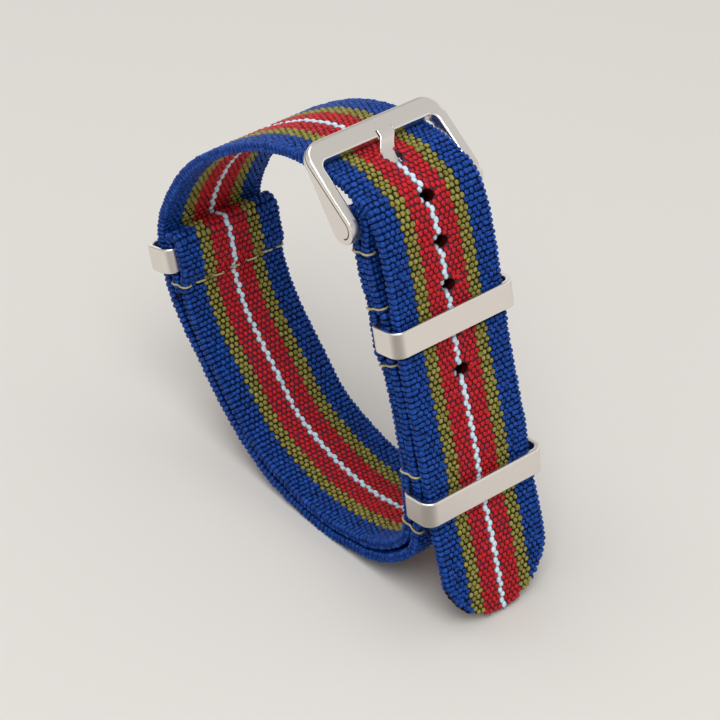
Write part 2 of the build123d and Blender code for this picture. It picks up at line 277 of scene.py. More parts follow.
def fibre_group() -> NodeTree:
    """Builds the group that draws fine filaments along a yarn, from the piece's flat coordinates.

    Returns:
        The group: colour and height out, from two colours, how fine the filaments are along and
        across the strap, and how strongly painted shade darkens the yarn down between the knuckles.
    """
    grey = (0.5, 0.5, 0.5, 1.0)
    inputs = [
        ("Color", "NodeSocketColor", grey),
        ("Shade", "NodeSocketColor", grey),
        ("Along", "NodeSocketFloat", 900.0),
        ("Across", "NodeSocketFloat", 9000.0),
        ("Hollows", "NodeSocketFloat", 0.9),
    ]
    outputs = [("Color", "NodeSocketColor"), ("Height", "NodeSocketFloat")]
    tree = new_group("yarn fibres", inputs, outputs)
    taken, given = tree.nodes["Group Input"].outputs, tree.nodes["Group Output"].inputs
    flat = flat_place(tree)
    fine = add_node(
        tree, "ShaderNodeCombineXYZ", X=taken["Along"], Y=taken["Across"], Z=taken["Across"]
    )
    stretched = vector_node(tree, "MULTIPLY", flat, fine.outputs[0])
    streaks = add_node(
        tree, "ShaderNodeTexNoise", Vector=stretched, Scale=1.0, Detail=2.0, Roughness=0.6
    ).outputs["Fac"]
    patches = add_node(tree, "ShaderNodeTexNoise", Vector=flat, Scale=1400.0, Detail=1.0)
    spread = math_node(tree, "ADD", streaks, patches.outputs["Fac"])
    tone = range_node(tree, spread, low=0.75, high=1.3)
    colour = mix_node(tree, tone.outputs[0], taken["Shade"], taken["Color"])
    # Painted shade: the yarn's colour is darkened down between the knuckles, where shade falls
    darker = math_node(tree, "MULTIPLY", hollow_depth(tree, flat), taken["Hollows"])
    light = math_node(tree, "SUBTRACT", 1.0, darker)
    feed(tree, given["Color"], vector_node(tree, "SCALE", colour, light))
    feed(tree, given["Height"], streaks)
    return tree


def hollow_depth(
    tree: NodeTree,
    flat: NodeSocket,
    edge_centre: float = 9.15 * MM,
    bottom: float = 0.42 * MM,
    top: float = 0.78 * MM,
) -> NodeSocket:
    """Adds nodes that tell how deep a point lies between the knuckles.

    Args:
        tree: The node tree that gets the nodes.
        flat: The socket with the webbing's flat coordinates.
        edge_centre: How far from the middle of the strap the line lies that an edge turns about.
        bottom: The distance from the webbing's middle layer at which the painted shade is darkest.
        top: The distance at which the painted shade ends.

    Returns:
        A value from 0 on top of the knuckles to 1 down at the ground, round the edges too, which sets how
        much painted shade falls there.
    """
    parts = add_node(tree, "ShaderNodeSeparateXYZ", Vector=flat).outputs
    beyond = math_node(tree, "SUBTRACT", math_node(tree, "ABSOLUTE", parts["Y"]), edge_centre)
    past = math_node(tree, "MAXIMUM", beyond, 0.0)
    reach = add_node(tree, "ShaderNodeCombineXYZ", X=past, Y=parts["Z"])
    height = vector_node(tree, "LENGTH", reach.outputs[0])
    fade = range_node(tree, height, bottom, top, to_low=1.0, to_high=0.0)
    fade.interpolation_type = "SMOOTHSTEP"
    return fade.outputs[0]


def satin_group(stretch: float = 0.03, swing: float = 0.12) -> NodeTree:
    """Builds the group that draws the fine lines of a brushed metal, which run along Y.

    Args:
        stretch: How much the pattern is squeezed along the lines, which draws them out.
        swing: How far the roughness swings about its middle.

    Returns:
        The group: roughness and height out, from a roughness and a line fineness.
    """
    inputs = [("Roughness", "NodeSocketFloat", 0.3), ("Fineness", "NodeSocketFloat", 14000.0)]
    outputs = [("Roughness", "NodeSocketFloat"), ("Height", "NodeSocketFloat")]
    tree = new_group("brushed lines", inputs, outputs)
    taken, given = tree.nodes["Group Input"].outputs, tree.nodes["Group Output"].inputs
    place = tree.nodes.new("ShaderNodeTexCoord").outputs["Object"]
    squeezed = vector_node(tree, "MULTIPLY", place, (1.0, stretch, 1.0))
    lines = add_node(
        tree, "ShaderNodeTexNoise", Vector=squeezed, Scale=taken["Fineness"], Detail=3.0, Roughness=0.6
    ).outputs["Fac"]
    change = math_node(tree, "MULTIPLY", math_node(tree, "SUBTRACT", lines, 0.5), swing)
    feed(tree, given["Roughness"], math_node(tree, "ADD", taken["Roughness"], change))
    feed(tree, given["Height"], lines)
    return tree


@dataclass(frozen=True)
class YarnFinish:
    """Nylon yarn: a colour with its darker shade, fine filaments and a soft sheen."""

    name: str
    colour: Colour
    shade: Colour
    roughness: float = 0.30
    # How strongly painted shade darkens the yarn down between its knuckles
    hollow_shade: float = 0.94
    bump: float = 0.35
    shine: float = 0.16
    relief: float = 0.06 * MM

    def make(self, fibres: NodeTree) -> Material:
        """Builds the material.

        Args:
            fibres: The group that draws the filaments.

        Returns:
            The material.
        """
        material, tree, shader = new_material(self.name)
        colours = {"Color": (*self.colour, 1.0), "Shade": (*self.shade, 1.0)}
        given = use_group(tree, fibres, Hollows=self.hollow_shade, **colours).outputs
        bump = add_node(
            tree, "ShaderNodeBump", Strength=self.bump, Distance=self.relief, Height=given["Height"]
        )
        feed(tree, shader["Base Color"], given["Color"])
        feed(tree, shader["Normal"], bump.outputs["Normal"])
        feed(tree, shader["Roughness"], self.roughness)
        feed(tree, shader["Specular IOR Level"], self.shine)
        return material


@dataclass(frozen=True)
class GroundFinish:
    """What shows between the knuckles: weft tinted by the stripe that it lies under, and painted near black
    as the shade in the gaps.
    """

    name: str
    stripes: tuple[tuple[float, Colour], ...]
    half_width: float = 10.0 * MM
    grain: float = 5000.0
    grain_swing: float = 0.5
    roughness: float = 0.9
    shine: float = 0.1

    def make(self) -> Material:
        """Builds the material, whose colour follows the distance from the webbing's middle.

        Returns:
            The material.
        """
        material, tree, shader = new_material(self.name)
        flat = flat_place(tree)
        parts = add_node(tree, "ShaderNodeSeparateXYZ", Vector=flat)
        away = math_node(tree, "ABSOLUTE", parts.outputs["Y"])
        share = math_node(tree, "DIVIDE", away, self.half_width)
        ramp = add_node(tree, "ShaderNodeValToRGB", Fac=share)
        ramp.color_ramp.interpolation = "CONSTANT"
        while len(ramp.color_ramp.elements) < len(self.stripes):
            ramp.color_ramp.elements.new(1.0)
        for element, (position, colour) in zip(ramp.color_ramp.elements, self.stripes):
            element.position = position
            element.color = (*colour, 1.0)
        noise = add_node(tree, "ShaderNodeTexNoise", Vector=flat, Scale=self.grain, Detail=2.0)
        low, high = 1 - self.grain_swing, 1 + self.grain_swing
        tone = range_node(tree, noise.outputs["Fac"], to_low=low, to_high=high)
        colour = vector_node(tree, "SCALE", ramp.outputs["Color"], tone.outputs[0])
        feed(tree, shader["Base Color"], colour)
        feed(tree, shader["Roughness"], self.roughness)
        feed(tree, shader["Specular IOR Level"], self.shine)
        return material


@dataclass(frozen=True)
class MetalFinish:
    """Steel: its colour, how rough it is and how deep its brushed lines are."""

    name: str
    colour: Colour
    roughness: float
    lines: float
    relief: float = 0.01 * MM

    def make(self, satin: NodeTree) -> Material:
        """Builds the material.

        Args:
            satin: The group that draws the brushed lines.

        Returns:
            The material.
        """
        material, tree, shader = new_material(self.name)
        given = use_group(tree, satin, Roughness=self.roughness).outputs
        bump = add_node(
            tree, "ShaderNodeBump", Strength=self.lines, Distance=self.relief, Height=given["Height"]
        )
        feed(tree, shader["Base Color"], (*self.colour, 1.0))
        feed(tree, shader["Metallic"], 1.0)
        feed(tree, shader["Roughness"], given["Roughness"])
        feed(tree, shader["Normal"], bump.outputs["Normal"])
        return material


# hollow_shade sets how strongly painted shade darkens each yarn down between its knuckles
YARNS = {
    Yarn.BLUE: YarnFinish("blue yarn", (0.013, 0.092, 0.47), (0.001, 0.021, 0.145), hollow_shade=0.95),
    Yarn.OLIVE: YarnFinish("olive yarn", (0.40, 0.365, 0.09), (0.17, 0.15, 0.028), hollow_shade=0.96),
    Yarn.RED: YarnFinish("red yarn", (0.66, 0.022, 0.03), (0.36, 0.008, 0.012)),
    Yarn.WHITE: YarnFinish("white yarn", (0.78, 0.91, 0.98), (0.50, 0.68, 0.82), hollow_shade=0.66),
}
# Painted shade: the edge loops are a darker blue than the blue yarn, as shade on the strap's edges, and the
# short strap's, which lie behind, are darker still
EDGE_IN_PAINTED_SHADE = YarnFinish("edge loops", (0.009, 0.066, 0.37), (0.001, 0.016, 0.11), shine=0.1)
INNER_EDGE_IN_DEEPER_SHADE = YarnFinish("inner edge loops in deeper painted shade", (0.006, 0.046, 0.27), (0.001, 0.011, 0.08), shine=0.1)
THREAD = YarnFinish("sewing thread", (0.56, 0.52, 0.31), (0.34, 0.30, 0.14), hollow_shade=0.0)
# Painted shadow: a near-black floor closes each round hole, as the shadow down in it
HOLE_SHADOW = YarnFinish("painted hole shadow", (0.015, 0.002, 0.003), (0.003, 0.001, 0.001), 0.9, shine=0.0)
# Painted shade: the ground is near black under the olive and blue stripes, as the shade in the gaps; under
# the red it keeps the weft's grey-violet tint
GROUND_WITH_GAP_SHADE = GroundFinish(
    "webbing ground with painted gap shade",
    ((0.0, (0.075, 0.040, 0.085)), (0.365, (0.018, 0.016, 0.006)), (0.59, (0.003, 0.006, 0.022))),
)
SATIN = MetalFinish("satin steel", (0.80, 0.755, 0.71), 0.30, 0.12)
POLISHED = MetalFinish("polished steel", (0.88, 0.85, 0.81), 0.18, 0.02)
GAP = MetalFinish("shaded gap", (0.05, 0.045, 0.04), 0.6, 0.02)


# Mesh helpers


def new_object(name: str, data: ID) -> Object:
    """Puts a mesh, curve, lamp or camera in the scene as an object at the origin.

    Args:
        name: The object's name.
        data: The mesh, curve, lamp or camera.

    Returns:
        The object.
    """
    piece = bpy.data.objects.new(name, data)
    bpy.context.scene.collection.objects.link(piece)
    return piece


def as_mesh(name: str, work: BMesh) -> Mesh:
    """Turns a worked mesh, which is freed, into plain mesh data.

    Args:
        name: The mesh's name.
        work: The worked mesh.

    Returns:
        The plain mesh.
    """
    mesh = bpy.data.meshes.new(name)
    work.to_mesh(mesh)
    work.free()
    return mesh


def finished(name: str, work: BMesh) -> Object:
    """Turns a worked mesh into an object, with its faces outwards."""
    bmesh.ops.recalc_face_normals(work, faces=work.faces)
    return new_object(name, as_mesh(name, work))


def add_copy(work: BMesh, other: BMesh) -> None:
    """Adds a second worked mesh, which is freed, to a first.

    Args:
        work: The first mesh.
        other: The second one.
    """
    spare = as_mesh("spare", other)
    work.from_mesh(spare)
    bpy.data.meshes.remove(spare)


def worked(mesh: Mesh) -> BMesh:
    """Copies a mesh to one to work on, in which points that lie together are one.

    Args:
        mesh: The plain mesh.

    Returns:
        The worked mesh.
    """
    work = bmesh.new()
    work.from_mesh(mesh)
    bmesh.ops.remove_doubles(work, verts=work.verts, dist=NEAR)
    return work


def packed_mesh(node: str) -> Mesh:
    """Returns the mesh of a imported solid."""
    return frame["nodes"][node].data


def packed_joint(name: str) -> dict:
    """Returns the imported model's row for a joint."""
    return next(joint for joint in frame["joints"] if joint["name"] == name)


def dress(piece: Object, material: Material, smooth: bool = True) -> None:
    """Gives a piece its one material and its shading.

    Args:
        piece: The piece.
        material: Its finish.
        smooth: Whether its faces are shaded smooth.
    """
    piece.data.materials.clear()
    piece.data.materials.append(material)
    piece.data.polygons.foreach_set("use_smooth", [smooth] * len(piece.data.polygons))


def evaluated(piece: Object) -> Mesh:
    """Returns the mesh that a piece's modifiers, or its curve, make."""
    graph = bpy.context.evaluated_depsgraph_get()
    return bpy.data.meshes.new_from_object(piece.evaluated_get(graph))


def applied(piece: Object) -> Object:
    """Swaps a piece's mesh for the one that its modifiers make.

    Args:
        piece: The piece, which loses its modifiers.

    Returns:
        The same piece.
    """
    mesh = evaluated(piece)
    piece.modifiers.clear()
    piece.data = mesh
    return piece


def cut_by(piece: Object, other: Object, operation: str = "DIFFERENCE") -> None:
    """Joins, cuts or intersects a piece with another object, which is then removed.

    Args:
        piece: The piece that is changed.
        other: The other object.
        operation: UNION, DIFFERENCE or INTERSECT.
    """
    change = piece.modifiers.new("combine", "BOOLEAN")
    change.operation = operation
    change.solver = "EXACT"
    change.object = other
    applied(piece)
    bpy.data.objects.remove(other)


def round_line(name: str, radius: float, **settings: object) -> Curve:
    """Makes an empty curve that is drawn as a round line with closed ends.

    Args:
        name: The curve's name.
        radius: The line's radius.
        settings: Other settings of the curve.

    Returns:
        The curve.
    """
    curve = bpy.data.curves.new(name, "CURVE")
    curve.dimensions = "3D"
    curve.bevel_depth = radius
    curve.use_fill_caps = True
    for setting, value in settings.items():
        setattr(curve, setting, value)
    return curve


def curve_mesh(curve: Curve) -> Mesh:
    """Turns a curve into the mesh of what it draws.

    Args:
        curve: The curve.

    Returns:
        The mesh.
    """
    holder = new_object(curve.name, curve)
    mesh = evaluated(holder)
    bpy.data.objects.remove(holder)
    return mesh


def read_points(mesh: Mesh) -> np.ndarray:
    """Reads where a mesh's vertices are.

    Args:
        mesh: The mesh.

    Returns:
        The points, as rows of three.
    """
    points = np.empty(len(mesh.vertices) * 3)
    mesh.vertices.foreach_get("co", points)
    return points.reshape(-1, 3)


def keep_flat(mesh: Mesh, points: np.ndarray) -> None:
    """Stores the flat coordinates of a mesh's vertices as an attribute."""
    attribute = mesh.attributes.new(FLAT, "FLOAT_VECTOR", "POINT")
    attribute.data.foreach_set("vector", points.ravel())


def scatter(name: str, template: Mesh, centres: np.ndarray, sizes: np.ndarray) -> Object:
    """Makes one piece of many copies of a small mesh.

    Args:
        name: The piece's name.
        template: The small mesh, about its own origin and of unit size.
        centres: A row of three for the place of each copy.
        sizes: A row of three for the half sizes of each copy.

    Returns:
        The piece, still flat.
    """
    piece = new_object(name, template.copy())
    array = piece.modifiers.new("copies", "ARRAY")
    array.use_relative_offset = False
    array.count = len(centres)
    applied(piece)
    points = centres[:, None, :] + read_points(template)[None, :, :] * sizes[:, None, :]
    piece.data.vertices.foreach_set("co", points.ravel())
    return piece


# Webbing


@dataclass
class StrapLine:
    """The middle line of a strap in its side view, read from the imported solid.

    The solid is cut lengthways, clear of its holes, and the line lies midway between the cut's two
    long sides. The two reaches are the number of points on either side that a normal looks at.
    """

    node: str
    cut_at: float = -2.2 * MM
    thickness: float = 1.7 * MM
    step: float = 0.1 * MM
    side_reach: int = 3
    middle_reach: int = 2

    def __post_init__(self) -> None:
        """Reads the line's points, their normals and their places along it."""
        side = self._resampled(self._outer_side(self._section()))
        middle = side - self._normals(side, self.side_reach) * self.thickness / 2
        self.points = self._resampled(middle)
        self.normals = self._normals(self.points, self.middle_reach)
        self.places = np.arange(len(self.points)) * self.step
        self.length = float(self.places[-1])

    def _section(self) -> np.ndarray:
        """Cuts the solid.

        Returns:
            The points of the cut's outline, in order, as rows of X and Z.
        """
        work = worked(packed_mesh(self.node))
        everything = work.verts[:] + work.edges[:] + work.faces[:]
        cut = bmesh.ops.bisect_plane(
            work, geom=everything, plane_co=(0, self.cut_at, 0), plane_no=(0, 1, 0)
        )
        edges = [item for item in cut["geom_cut"] if isinstance(item, BMEdge)]
        chosen = set(edges)
        first = here = edges[0].verts[0]
        loop, before = [], None
        while not loop or here is not first:
            loop.append((here.co.x, here.co.z))
            before = next(edge for edge in here.link_edges if edge in chosen and edge is not before)
            here = before.other_vert(here)
        work.free()
        return np.array(loop)

    def _outer_side(self, loop: np.ndarray) -> np.ndarray:
        """Finds the long side of the outline that is on the left of the strap's run.

        Args:
            loop: The outline's points, in order.

        Returns:
            The side's points, from the strap's inner end to its outer one.
        """
        after = np.roll(loop, -1, axis=0) - loop
        before = np.roll(after, 1, axis=0)
        across = before[:, 0] * after[:, 1] - before[:, 1] * after[:, 0]
        turn = np.abs(np.arctan2(across, (before * after).sum(1)))
        corners = np.sort(np.argsort(turn)[-4:])
        long_sides = []
        for first, last in zip(corners, np.roll(corners, -1)):
            span = (last - first) % len(loop)
            side = loop[(first + np.arange(span + 1)) % len(loop)]
            if self._runs(side)[-1] > self.thickness * 2:
                long_sides.append(side)
        # The outline runs one way round, so one long side runs forward and the other back
        area = 0.5 * np.sum(loop[:, 0] * np.roll(loop[:, 1], -1) - np.roll(loop[:, 0], -1) * loop[:, 1])
        if area > 0:
            long_sides = [side[::-1] for side in long_sides]
        # Run along, the strap's inside is on the right: the start is the end higher on the leg
        return long_sides[int(np.argmax([side[0][1] for side in long_sides]))]

    @staticmethod
    def _runs(line: np.ndarray) -> np.ndarray:
        """Returns how far along a line each of its points is."""
        return np.concatenate([[0.0], np.cumsum(np.linalg.norm(np.diff(line, axis=0), axis=1))])

    def _resampled(self, line: np.ndarray) -> np.ndarray:
        """Finds points along a line at an even step.

        Args:
            line: The line's points.

        Returns:
            The new points.
        """
        runs = self._runs(line)
        places = np.linspace(0, runs[-1], int(round(runs[-1] / self.step)) + 1)
        return np.stack([np.interp(places, runs, line[:, axis]) for axis in (0, 1)], axis=1)

    @staticmethod
    def _normals(line: np.ndarray, reach: int) -> np.ndarray:
        """Finds the unit normal on the left of a line at each of its points.

        Args:
            line: The line's points.
            reach: How many points on either side a normal looks at.

        Returns:
            The normals, as rows of X and Z.
        """
        padded = np.concatenate([[line[0]] * reach, line, [line[-1]] * reach])
        along = padded[2 * reach:] - padded[:-2 * reach]
        along /= np.linalg.norm(along, axis=1)[:, None]
        return np.stack([-along[:, 1], along[:, 0]], axis=1)

    def bend(self, piece: Object) -> None:
        """Bends a flat piece along the line and keeps its flat coordinates as an attribute.

        Args:
            piece: A piece whose X runs along the strap, Y across it and Z out of its outer face.
        """
        flat = read_points(piece.data)
        keep_flat(piece.data, flat)
        along = np.clip(flat[:, 0], 0, self.length)
        spare = flat[:, 0] - along
        columns = (*self.points.T, *self.normals.T)
        x, z, out_x, out_z = (np.interp(along, self.places, values) for values in columns)
        norm = np.hypot(out_x, out_z)
        out_x, out_z = out_x / norm, out_z / norm
        x = x + out_x * flat[:, 2] + out_z * spare
        z = z + out_z * flat[:, 2] - out_x * spare
        piece.data.vertices.foreach_set("co", np.stack([x, flat[:, 1], z], axis=1).ravel())
        piece.data.update()

    def nearest(self, x: float, z: float) -> float:
        """Returns the place along the line that is nearest to a point of the side view."""
        return float(self.places[np.argmin(np.hypot(self.points[:, 0] - x, self.points[:, 1] - z))])


@dataclass(frozen=True)
class Knuckle:
    """A kind of knuckle: its half sizes along, across and through the webbing, and how uneven it is.

    The shifts are how far it strays in each direction, in millimetres, and the spread is how much
    its sizes vary, as a share.
    """

    along: float
    across: float
    through: float = 0.46 * MM
    shifts: tuple[float, float, float] = (0.045, 0.03, 0.022)
    spread: float = 0.05

    def placed(self, centres: np.ndarray, random: np.random.Generator) -> tuple[np.ndarray, np.ndarray]:
        """Shifts knuckles a little and gives them uneven sizes.

        Args:
            centres: The knuckles' even places.
            random: Where the shifts and sizes are drawn from.

        Returns:
            The knuckles' places and half sizes.
        """
        centres = centres + random.normal(size=centres.shape) * np.array(self.shifts) * MM
        half = np.array([self.along, self.across, self.through])
        return centres, half * (1 + random.normal(size=centres.shape) * self.spread)


KNUCKLES = {
    Yarn.BLUE: Knuckle(0.455 * MM, 0.48 * MM),
    Yarn.OLIVE: Knuckle(0.45 * MM, 0.44 * MM),
    Yarn.RED: Knuckle(0.47 * MM, 0.45 * MM),
    Yarn.WHITE: Knuckle(0.56 * MM, 0.48 * MM, 0.50 * MM),
}
RIB = Knuckle(0.405 * MM, 0.46 * MM, shifts=(0.04, 0.04, 0.02), spread=0.06)
EDGE_LOOP = Knuckle(0.395 * MM, 0.46 * MM, 0.78 * MM, shifts=(0.02, 0.02, 0.02), spread=0.03)


@dataclass(frozen=True)
class Hole:
    """A hole in the webbing.

    Its place is along the strap, aside is how far its middle lies to one side, and flatness is how
    long it is along the strap for its breadth. A lined hole has sealed walls and a black floor that is a
    painted shadow down in it.
    """

    place: float
    radius: float
    aside: float = 0.2 * MM
    flatness: float = 0.72
    lined: bool = True


@dataclass
class Webbing:
    """One woven strap: rows of knuckles on both faces, ribbed edges and a ground between them, painted dark
    as the shade in the gaps.

    The sizes that begin with tip shape the rounded tip. Those that begin with white say how the two middle
    ends crowd together, and how they part and sink beside the tongue.
    """

    name: str
    line: StrapLine
    finishes: dict[Yarn, Material]
    ground: Material
    # The edge loops' finish, painted darker as shade
    edge: Material
    # Painted shadow that floors the round holes
    hole_shadow: Material
    holes: list[Hole] = field(default_factory=list)
    rounded_tip: bool = False
    seed: int = 7
    width: float = 20.0 * MM
    row_pitch: float = 0.876 * MM
    bead_fullness: float = 0.8
    ends: int = 44
    rib_ends: int = 3
    rib_insets: tuple[float, ...] = (0.48 * MM, 1.22 * MM)
    ground_step: float = 0.6 * MM
    ground_inset: float = 0.25 * MM
    ground_half: float = 0.29
    hole_margin: float = 0.36 * MM
    hole_foot: float = 0.72
    hole_sides: int = 24
    lining_floor: float = 0.1 * MM
    tip_lead: float = 0.45 * MM
    tip_most: float = 0.9995
    tip_inset: float = 0.34 * MM
    tip_spare: float = 0.42 * MM
    last_loop: float = 0.6
    white_squeeze: float = 0.72
    white_shift: float = 0.35 * MM
    white_gap: float = 6.0 * MM
    white_after: float = 0.6
    white_sink: float = 0.7
    sink_reach: float = 1.3
    pattern: tuple[tuple[Yarn, int], ...] = (
        (Yarn.BLUE, 9),
        (Yarn.OLIVE, 5),
        (Yarn.RED, 7),
        (Yarn.WHITE, 2),
        (Yarn.RED, 7),
        (Yarn.OLIVE, 5),
        (Yarn.BLUE, 9),
    )

    def build(self) -> list[Object]:
        """Builds every piece of the strap.

        Returns:
            The pieces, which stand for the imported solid.
        """
        self.random = np.random.default_rng(self.seed)
        self.rows = (np.arange(int(self.line.length / self.row_pitch)) + 0.5) * self.row_pitch
        self.bead = self._bead()
        pieces = [self._ground(), *self._knuckles(), *self._ribs(), self._edge_loops()]
        if self.holes:
            pieces.append(self._linings())
        for piece in pieces:
            self.line.bend(piece)
            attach(piece, Body.STRAP.value)
            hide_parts(self.name)
            log.info("%s: %d faces", piece.name, len(piece.data.polygons))
        return pieces

    def _bead(self) -> Mesh:
        """Makes the unit knuckle: a pillowy bead whose ends lie along X.

        Returns:
            The bead's mesh.
        """
        work = bmesh.new()
        bmesh.ops.create_uvsphere(work, u_segments=8, v_segments=5, radius=1.0)
        bmesh.ops.rotate(work, verts=work.verts, matrix=Matrix.Rotation(math.pi / 2, 3, "Y"))
        for vertex in work.verts:
            vertex.co = [math.copysign(abs(value) ** self.bead_fullness, value) for value in vertex.co]
        return as_mesh("knuckle", work)

    def _ground(self) -> Object:
        """Makes the slab between the two faces, with its holes; its near-black colour is partly painted
        shade.

        Returns:
            The slab, still flat.
        """
        length = self.line.length
        half = self.line.thickness * self.ground_half
        work = bmesh.new()
        bmesh.ops.create_grid(work, x_segments=int(length / self.ground_step), y_segments=10, size=0.5)
        bmesh.ops.scale(work, verts=work.verts, vec=(length, self.width - 2 * self.ground_inset, 1.0))
        bmesh.ops.translate(work, verts=work.verts, vec=(length / 2, 0, -half))
        if self.rounded_tip:
            for vertex in work.verts:
                vertex.co.y *= self._tip_share(vertex.co.x + self.tip_lead)
        faces = bmesh.ops.extrude_face_region(work, geom=work.faces[:])["geom"]
        raised = [item for item in faces if isinstance(item, BMVert)]
        bmesh.ops.translate(work, verts=raised, vec=(0, 0, 2 * half))
        piece = finished(self.name + "_ground", work)
        if self.holes:
            cut_by(piece, self._hole_cutter())
        dress(piece, self.ground, smooth=False)
        return piece

    def _tip_share(self, place: float) -> float:
        """Finds how much of the width is left, where the tip is rounded.

        Args:
            place: The place along the strap.

        Returns:
            The share of the width.
        """
        radius = self.width / 2
        past = min(max((place - (self.line.length - radius)) / radius, 0.0), self.tip_most)
        return math.sqrt(1.0 - past * past)

    def _hole_cutter(self) -> Object:
        """Makes the upright rods that cut the holes in the flat ground.

        Returns:
            The rods, as one object.
        """
        work = bmesh.new()
        for hole in self.holes:
            radius = hole.radius + self.hole_margin / 4
            flattened = Matrix.Diagonal((hole.flatness, 1, 1, 1))
            bmesh.ops.create_cone(
                work,
                cap_ends=True,
                segments=self.hole_sides,
                radius1=radius,
                radius2=radius,
                depth=self.line.thickness * 4,
                matrix=Matrix.Translation((hole.place, hole.aside, 0)) @ flattened,
            )
        return finished("hole_rods", work)

    def _linings(self) -> Object:
        """Makes the sealed red walls of the round holes, and their black floors, which are a painted
        shadow.

        Returns:
            The walls and floors, as one flat piece.
        """
        work = bmesh.new()
        for hole in self.holes:
            if hole.lined:
                add_copy(work, self._cup(hole))
        bmesh.ops.remove_doubles(work, verts=work.verts, dist=NEAR)
        piece = finished(self.name + "_hole_walls", work)
        dress(piece, self.finishes[Yarn.RED], smooth=False)
        piece.data.materials.append(self.hole_shadow)
        # The floors, which face up and lie low, get the painted shadow
        for face in piece.data.polygons:
            face.material_index = int(face.normal.z > 0.9 and face.center.z < 0)
        return piece

    def _cup(self, hole: Hole) -> BMesh:
        """Makes the closed cup that lines one hole.

        Args:
            hole: The hole.

        Returns:
            The cup, as a mesh to work on.
        """
        half = self.line.thickness * self.ground_half
        floor = -half + self.lining_floor
        wall, foot = hole.radius + self.hole_margin, hole.radius * self.hole_foot
        profile = ((0, -half), (wall, -half), (wall, half), (hole.radius, half), (foot, floor), (0, floor))
        cup = bmesh.new()
        points = [cup.verts.new((reach, 0, height)) for reach, height in profile]
        edges = [cup.edges.new(pair) for pair in zip(points, points[1:])]
        bmesh.ops.spin(
            cup,
            geom=points + edges,
            cent=(0, 0, 0),
            axis=(0, 0, 1),
            angle=math.tau,
            steps=self.hole_sides,
            use_merge=True,
        )
        bmesh.ops.scale(cup, verts=cup.verts, vec=(hole.flatness, 1, 1))
        bmesh.ops.translate(cup, verts=cup.verts, vec=(hole.place, hole.aside, 0))
        return cup

    def _strewn(self, name: str, centres: np.ndarray, sizes: np.ndarray, finish: Material) -> Object:
        """Makes one dressed piece of knuckles.

        Args:
            name: What the piece's name says after the strap's.
            centres: The knuckles' places.
            sizes: Their half sizes.
            finish: Their finish.

        Returns:
            The piece, still flat.
        """
        piece = scatter(f"{self.name}_{name}", self.bead, centres, sizes)
        dress(piece, finish)
        return piece

    def _knuckles(self) -> list[Object]:
        """Makes the knuckles of both faces, one piece for each colour and side.

        Returns:
            The pieces, still flat.
        """
        groups: dict[tuple[Yarn, str], list[int]] = {}
        yarns = [yarn for yarn, count in self.pattern for _ in range(count)]
        for end in range(self.rib_ends, self.ends - self.rib_ends):
            side = "left" if end < self.ends / 2 else "right"
            key = (yarns[end], side if yarns[end] is not Yarn.WHITE else "middle")
            groups.setdefault(key, []).append(end)
        pieces = []
        for (yarn, side), ends in groups.items():
            centres, sizes = self._rows(yarn, ends)
            if yarn is Yarn.WHITE and self.holes:
                # Beside the tongue, the middle ends are covered and look red
                before = self.holes[0].place - centres[:, 0]
                hidden = (before > -self.holes[0].radius * self.white_after) & (before < self.white_gap)
                red = self.finishes[Yarn.RED]
                pieces.append(self._strewn("red_middle", centres[hidden], sizes[hidden], red))
                centres, sizes = centres[~hidden], sizes[~hidden]
            pieces.append(self._strewn(f"{yarn.value}_{side}", centres, sizes, self.finishes[yarn]))
        return pieces

    def _rows(self, yarn: Yarn, ends: list[int]) -> tuple[np.ndarray, np.ndarray]:
        """Lays out the knuckles of some warp ends, on both faces.

        Args:
            yarn: The ends' yarn.
            ends: The ends' numbers, from the left edge.

        Returns:
            The knuckles' places and half sizes.
        """
        white = yarn is Yarn.WHITE
        knuckle = KNUCKLES[yarn]
        pitch = self.width / self.ends
        height = self.line.thickness / 2 - knuckle.through
        centres = []
        for end in ends:
            across = ((end + 0.5) * pitch - self.width / 2) * (self.white_squeeze if white else 1.0)
            for row, place in enumerate(self.rows):
                centres.append((place, across, height if (row + end) % 2 == 0 else -height))
        centres, sizes = knuckle.placed(np.array(centres), self.random)
        return self._kept(centres, sizes, self.white_shift if white else 0.0)

    def _kept(
        self, centres: np.ndarray, sizes: np.ndarray, shift: float = 0.0
    ) -> tuple[np.ndarray, np.ndarray]:
        """Moves knuckles aside from the holes and leaves out those past the rounded tip.

        Args:
            centres: The knuckles' places.
            sizes: Their half sizes.
            shift: How much farther to one side these yarns take the hole's middle to be.

        Returns:
            The places and half sizes of the knuckles that stay.
        """
        for hole in self.holes:
            away = centres[:, :2] - np.array([hole.place, hole.aside + shift])
            distance = np.hypot(away[:, 0] / hole.flatness, away[:, 1])
            clear = hole.radius + self.hole_margin
            wanted = np.cbrt(distance ** 3 + clear ** 3)
            centres[:, :2] += away * (wanted / np.maximum(distance, NEAR) - 1)[:, None]
            if shift > 0:
                near = np.clip(self.sink_reach - distance / clear, 0, 1)
                centres[:, 2] *= 1 - self.white_sink * near
        if self.rounded_tip:
            start = self.line.length - self.width / 2
            past = np.maximum(centres[:, 0] - start, 0)
            distance = np.hypot(past, centres[:, 1])
            border = self.width / 2 - self.tip_inset
            outside = (past > 0) & (distance > border)
            pull = np.where(outside, border / np.maximum(distance, NEAR), 1.0)
            centres[:, 0] = np.where(past > 0, start + past * pull, centres[:, 0])
            centres[:, 1] *= pull
            kept = distance < border + self.tip_spare
            centres, sizes = centres[kept], sizes[kept]
        return centres, sizes

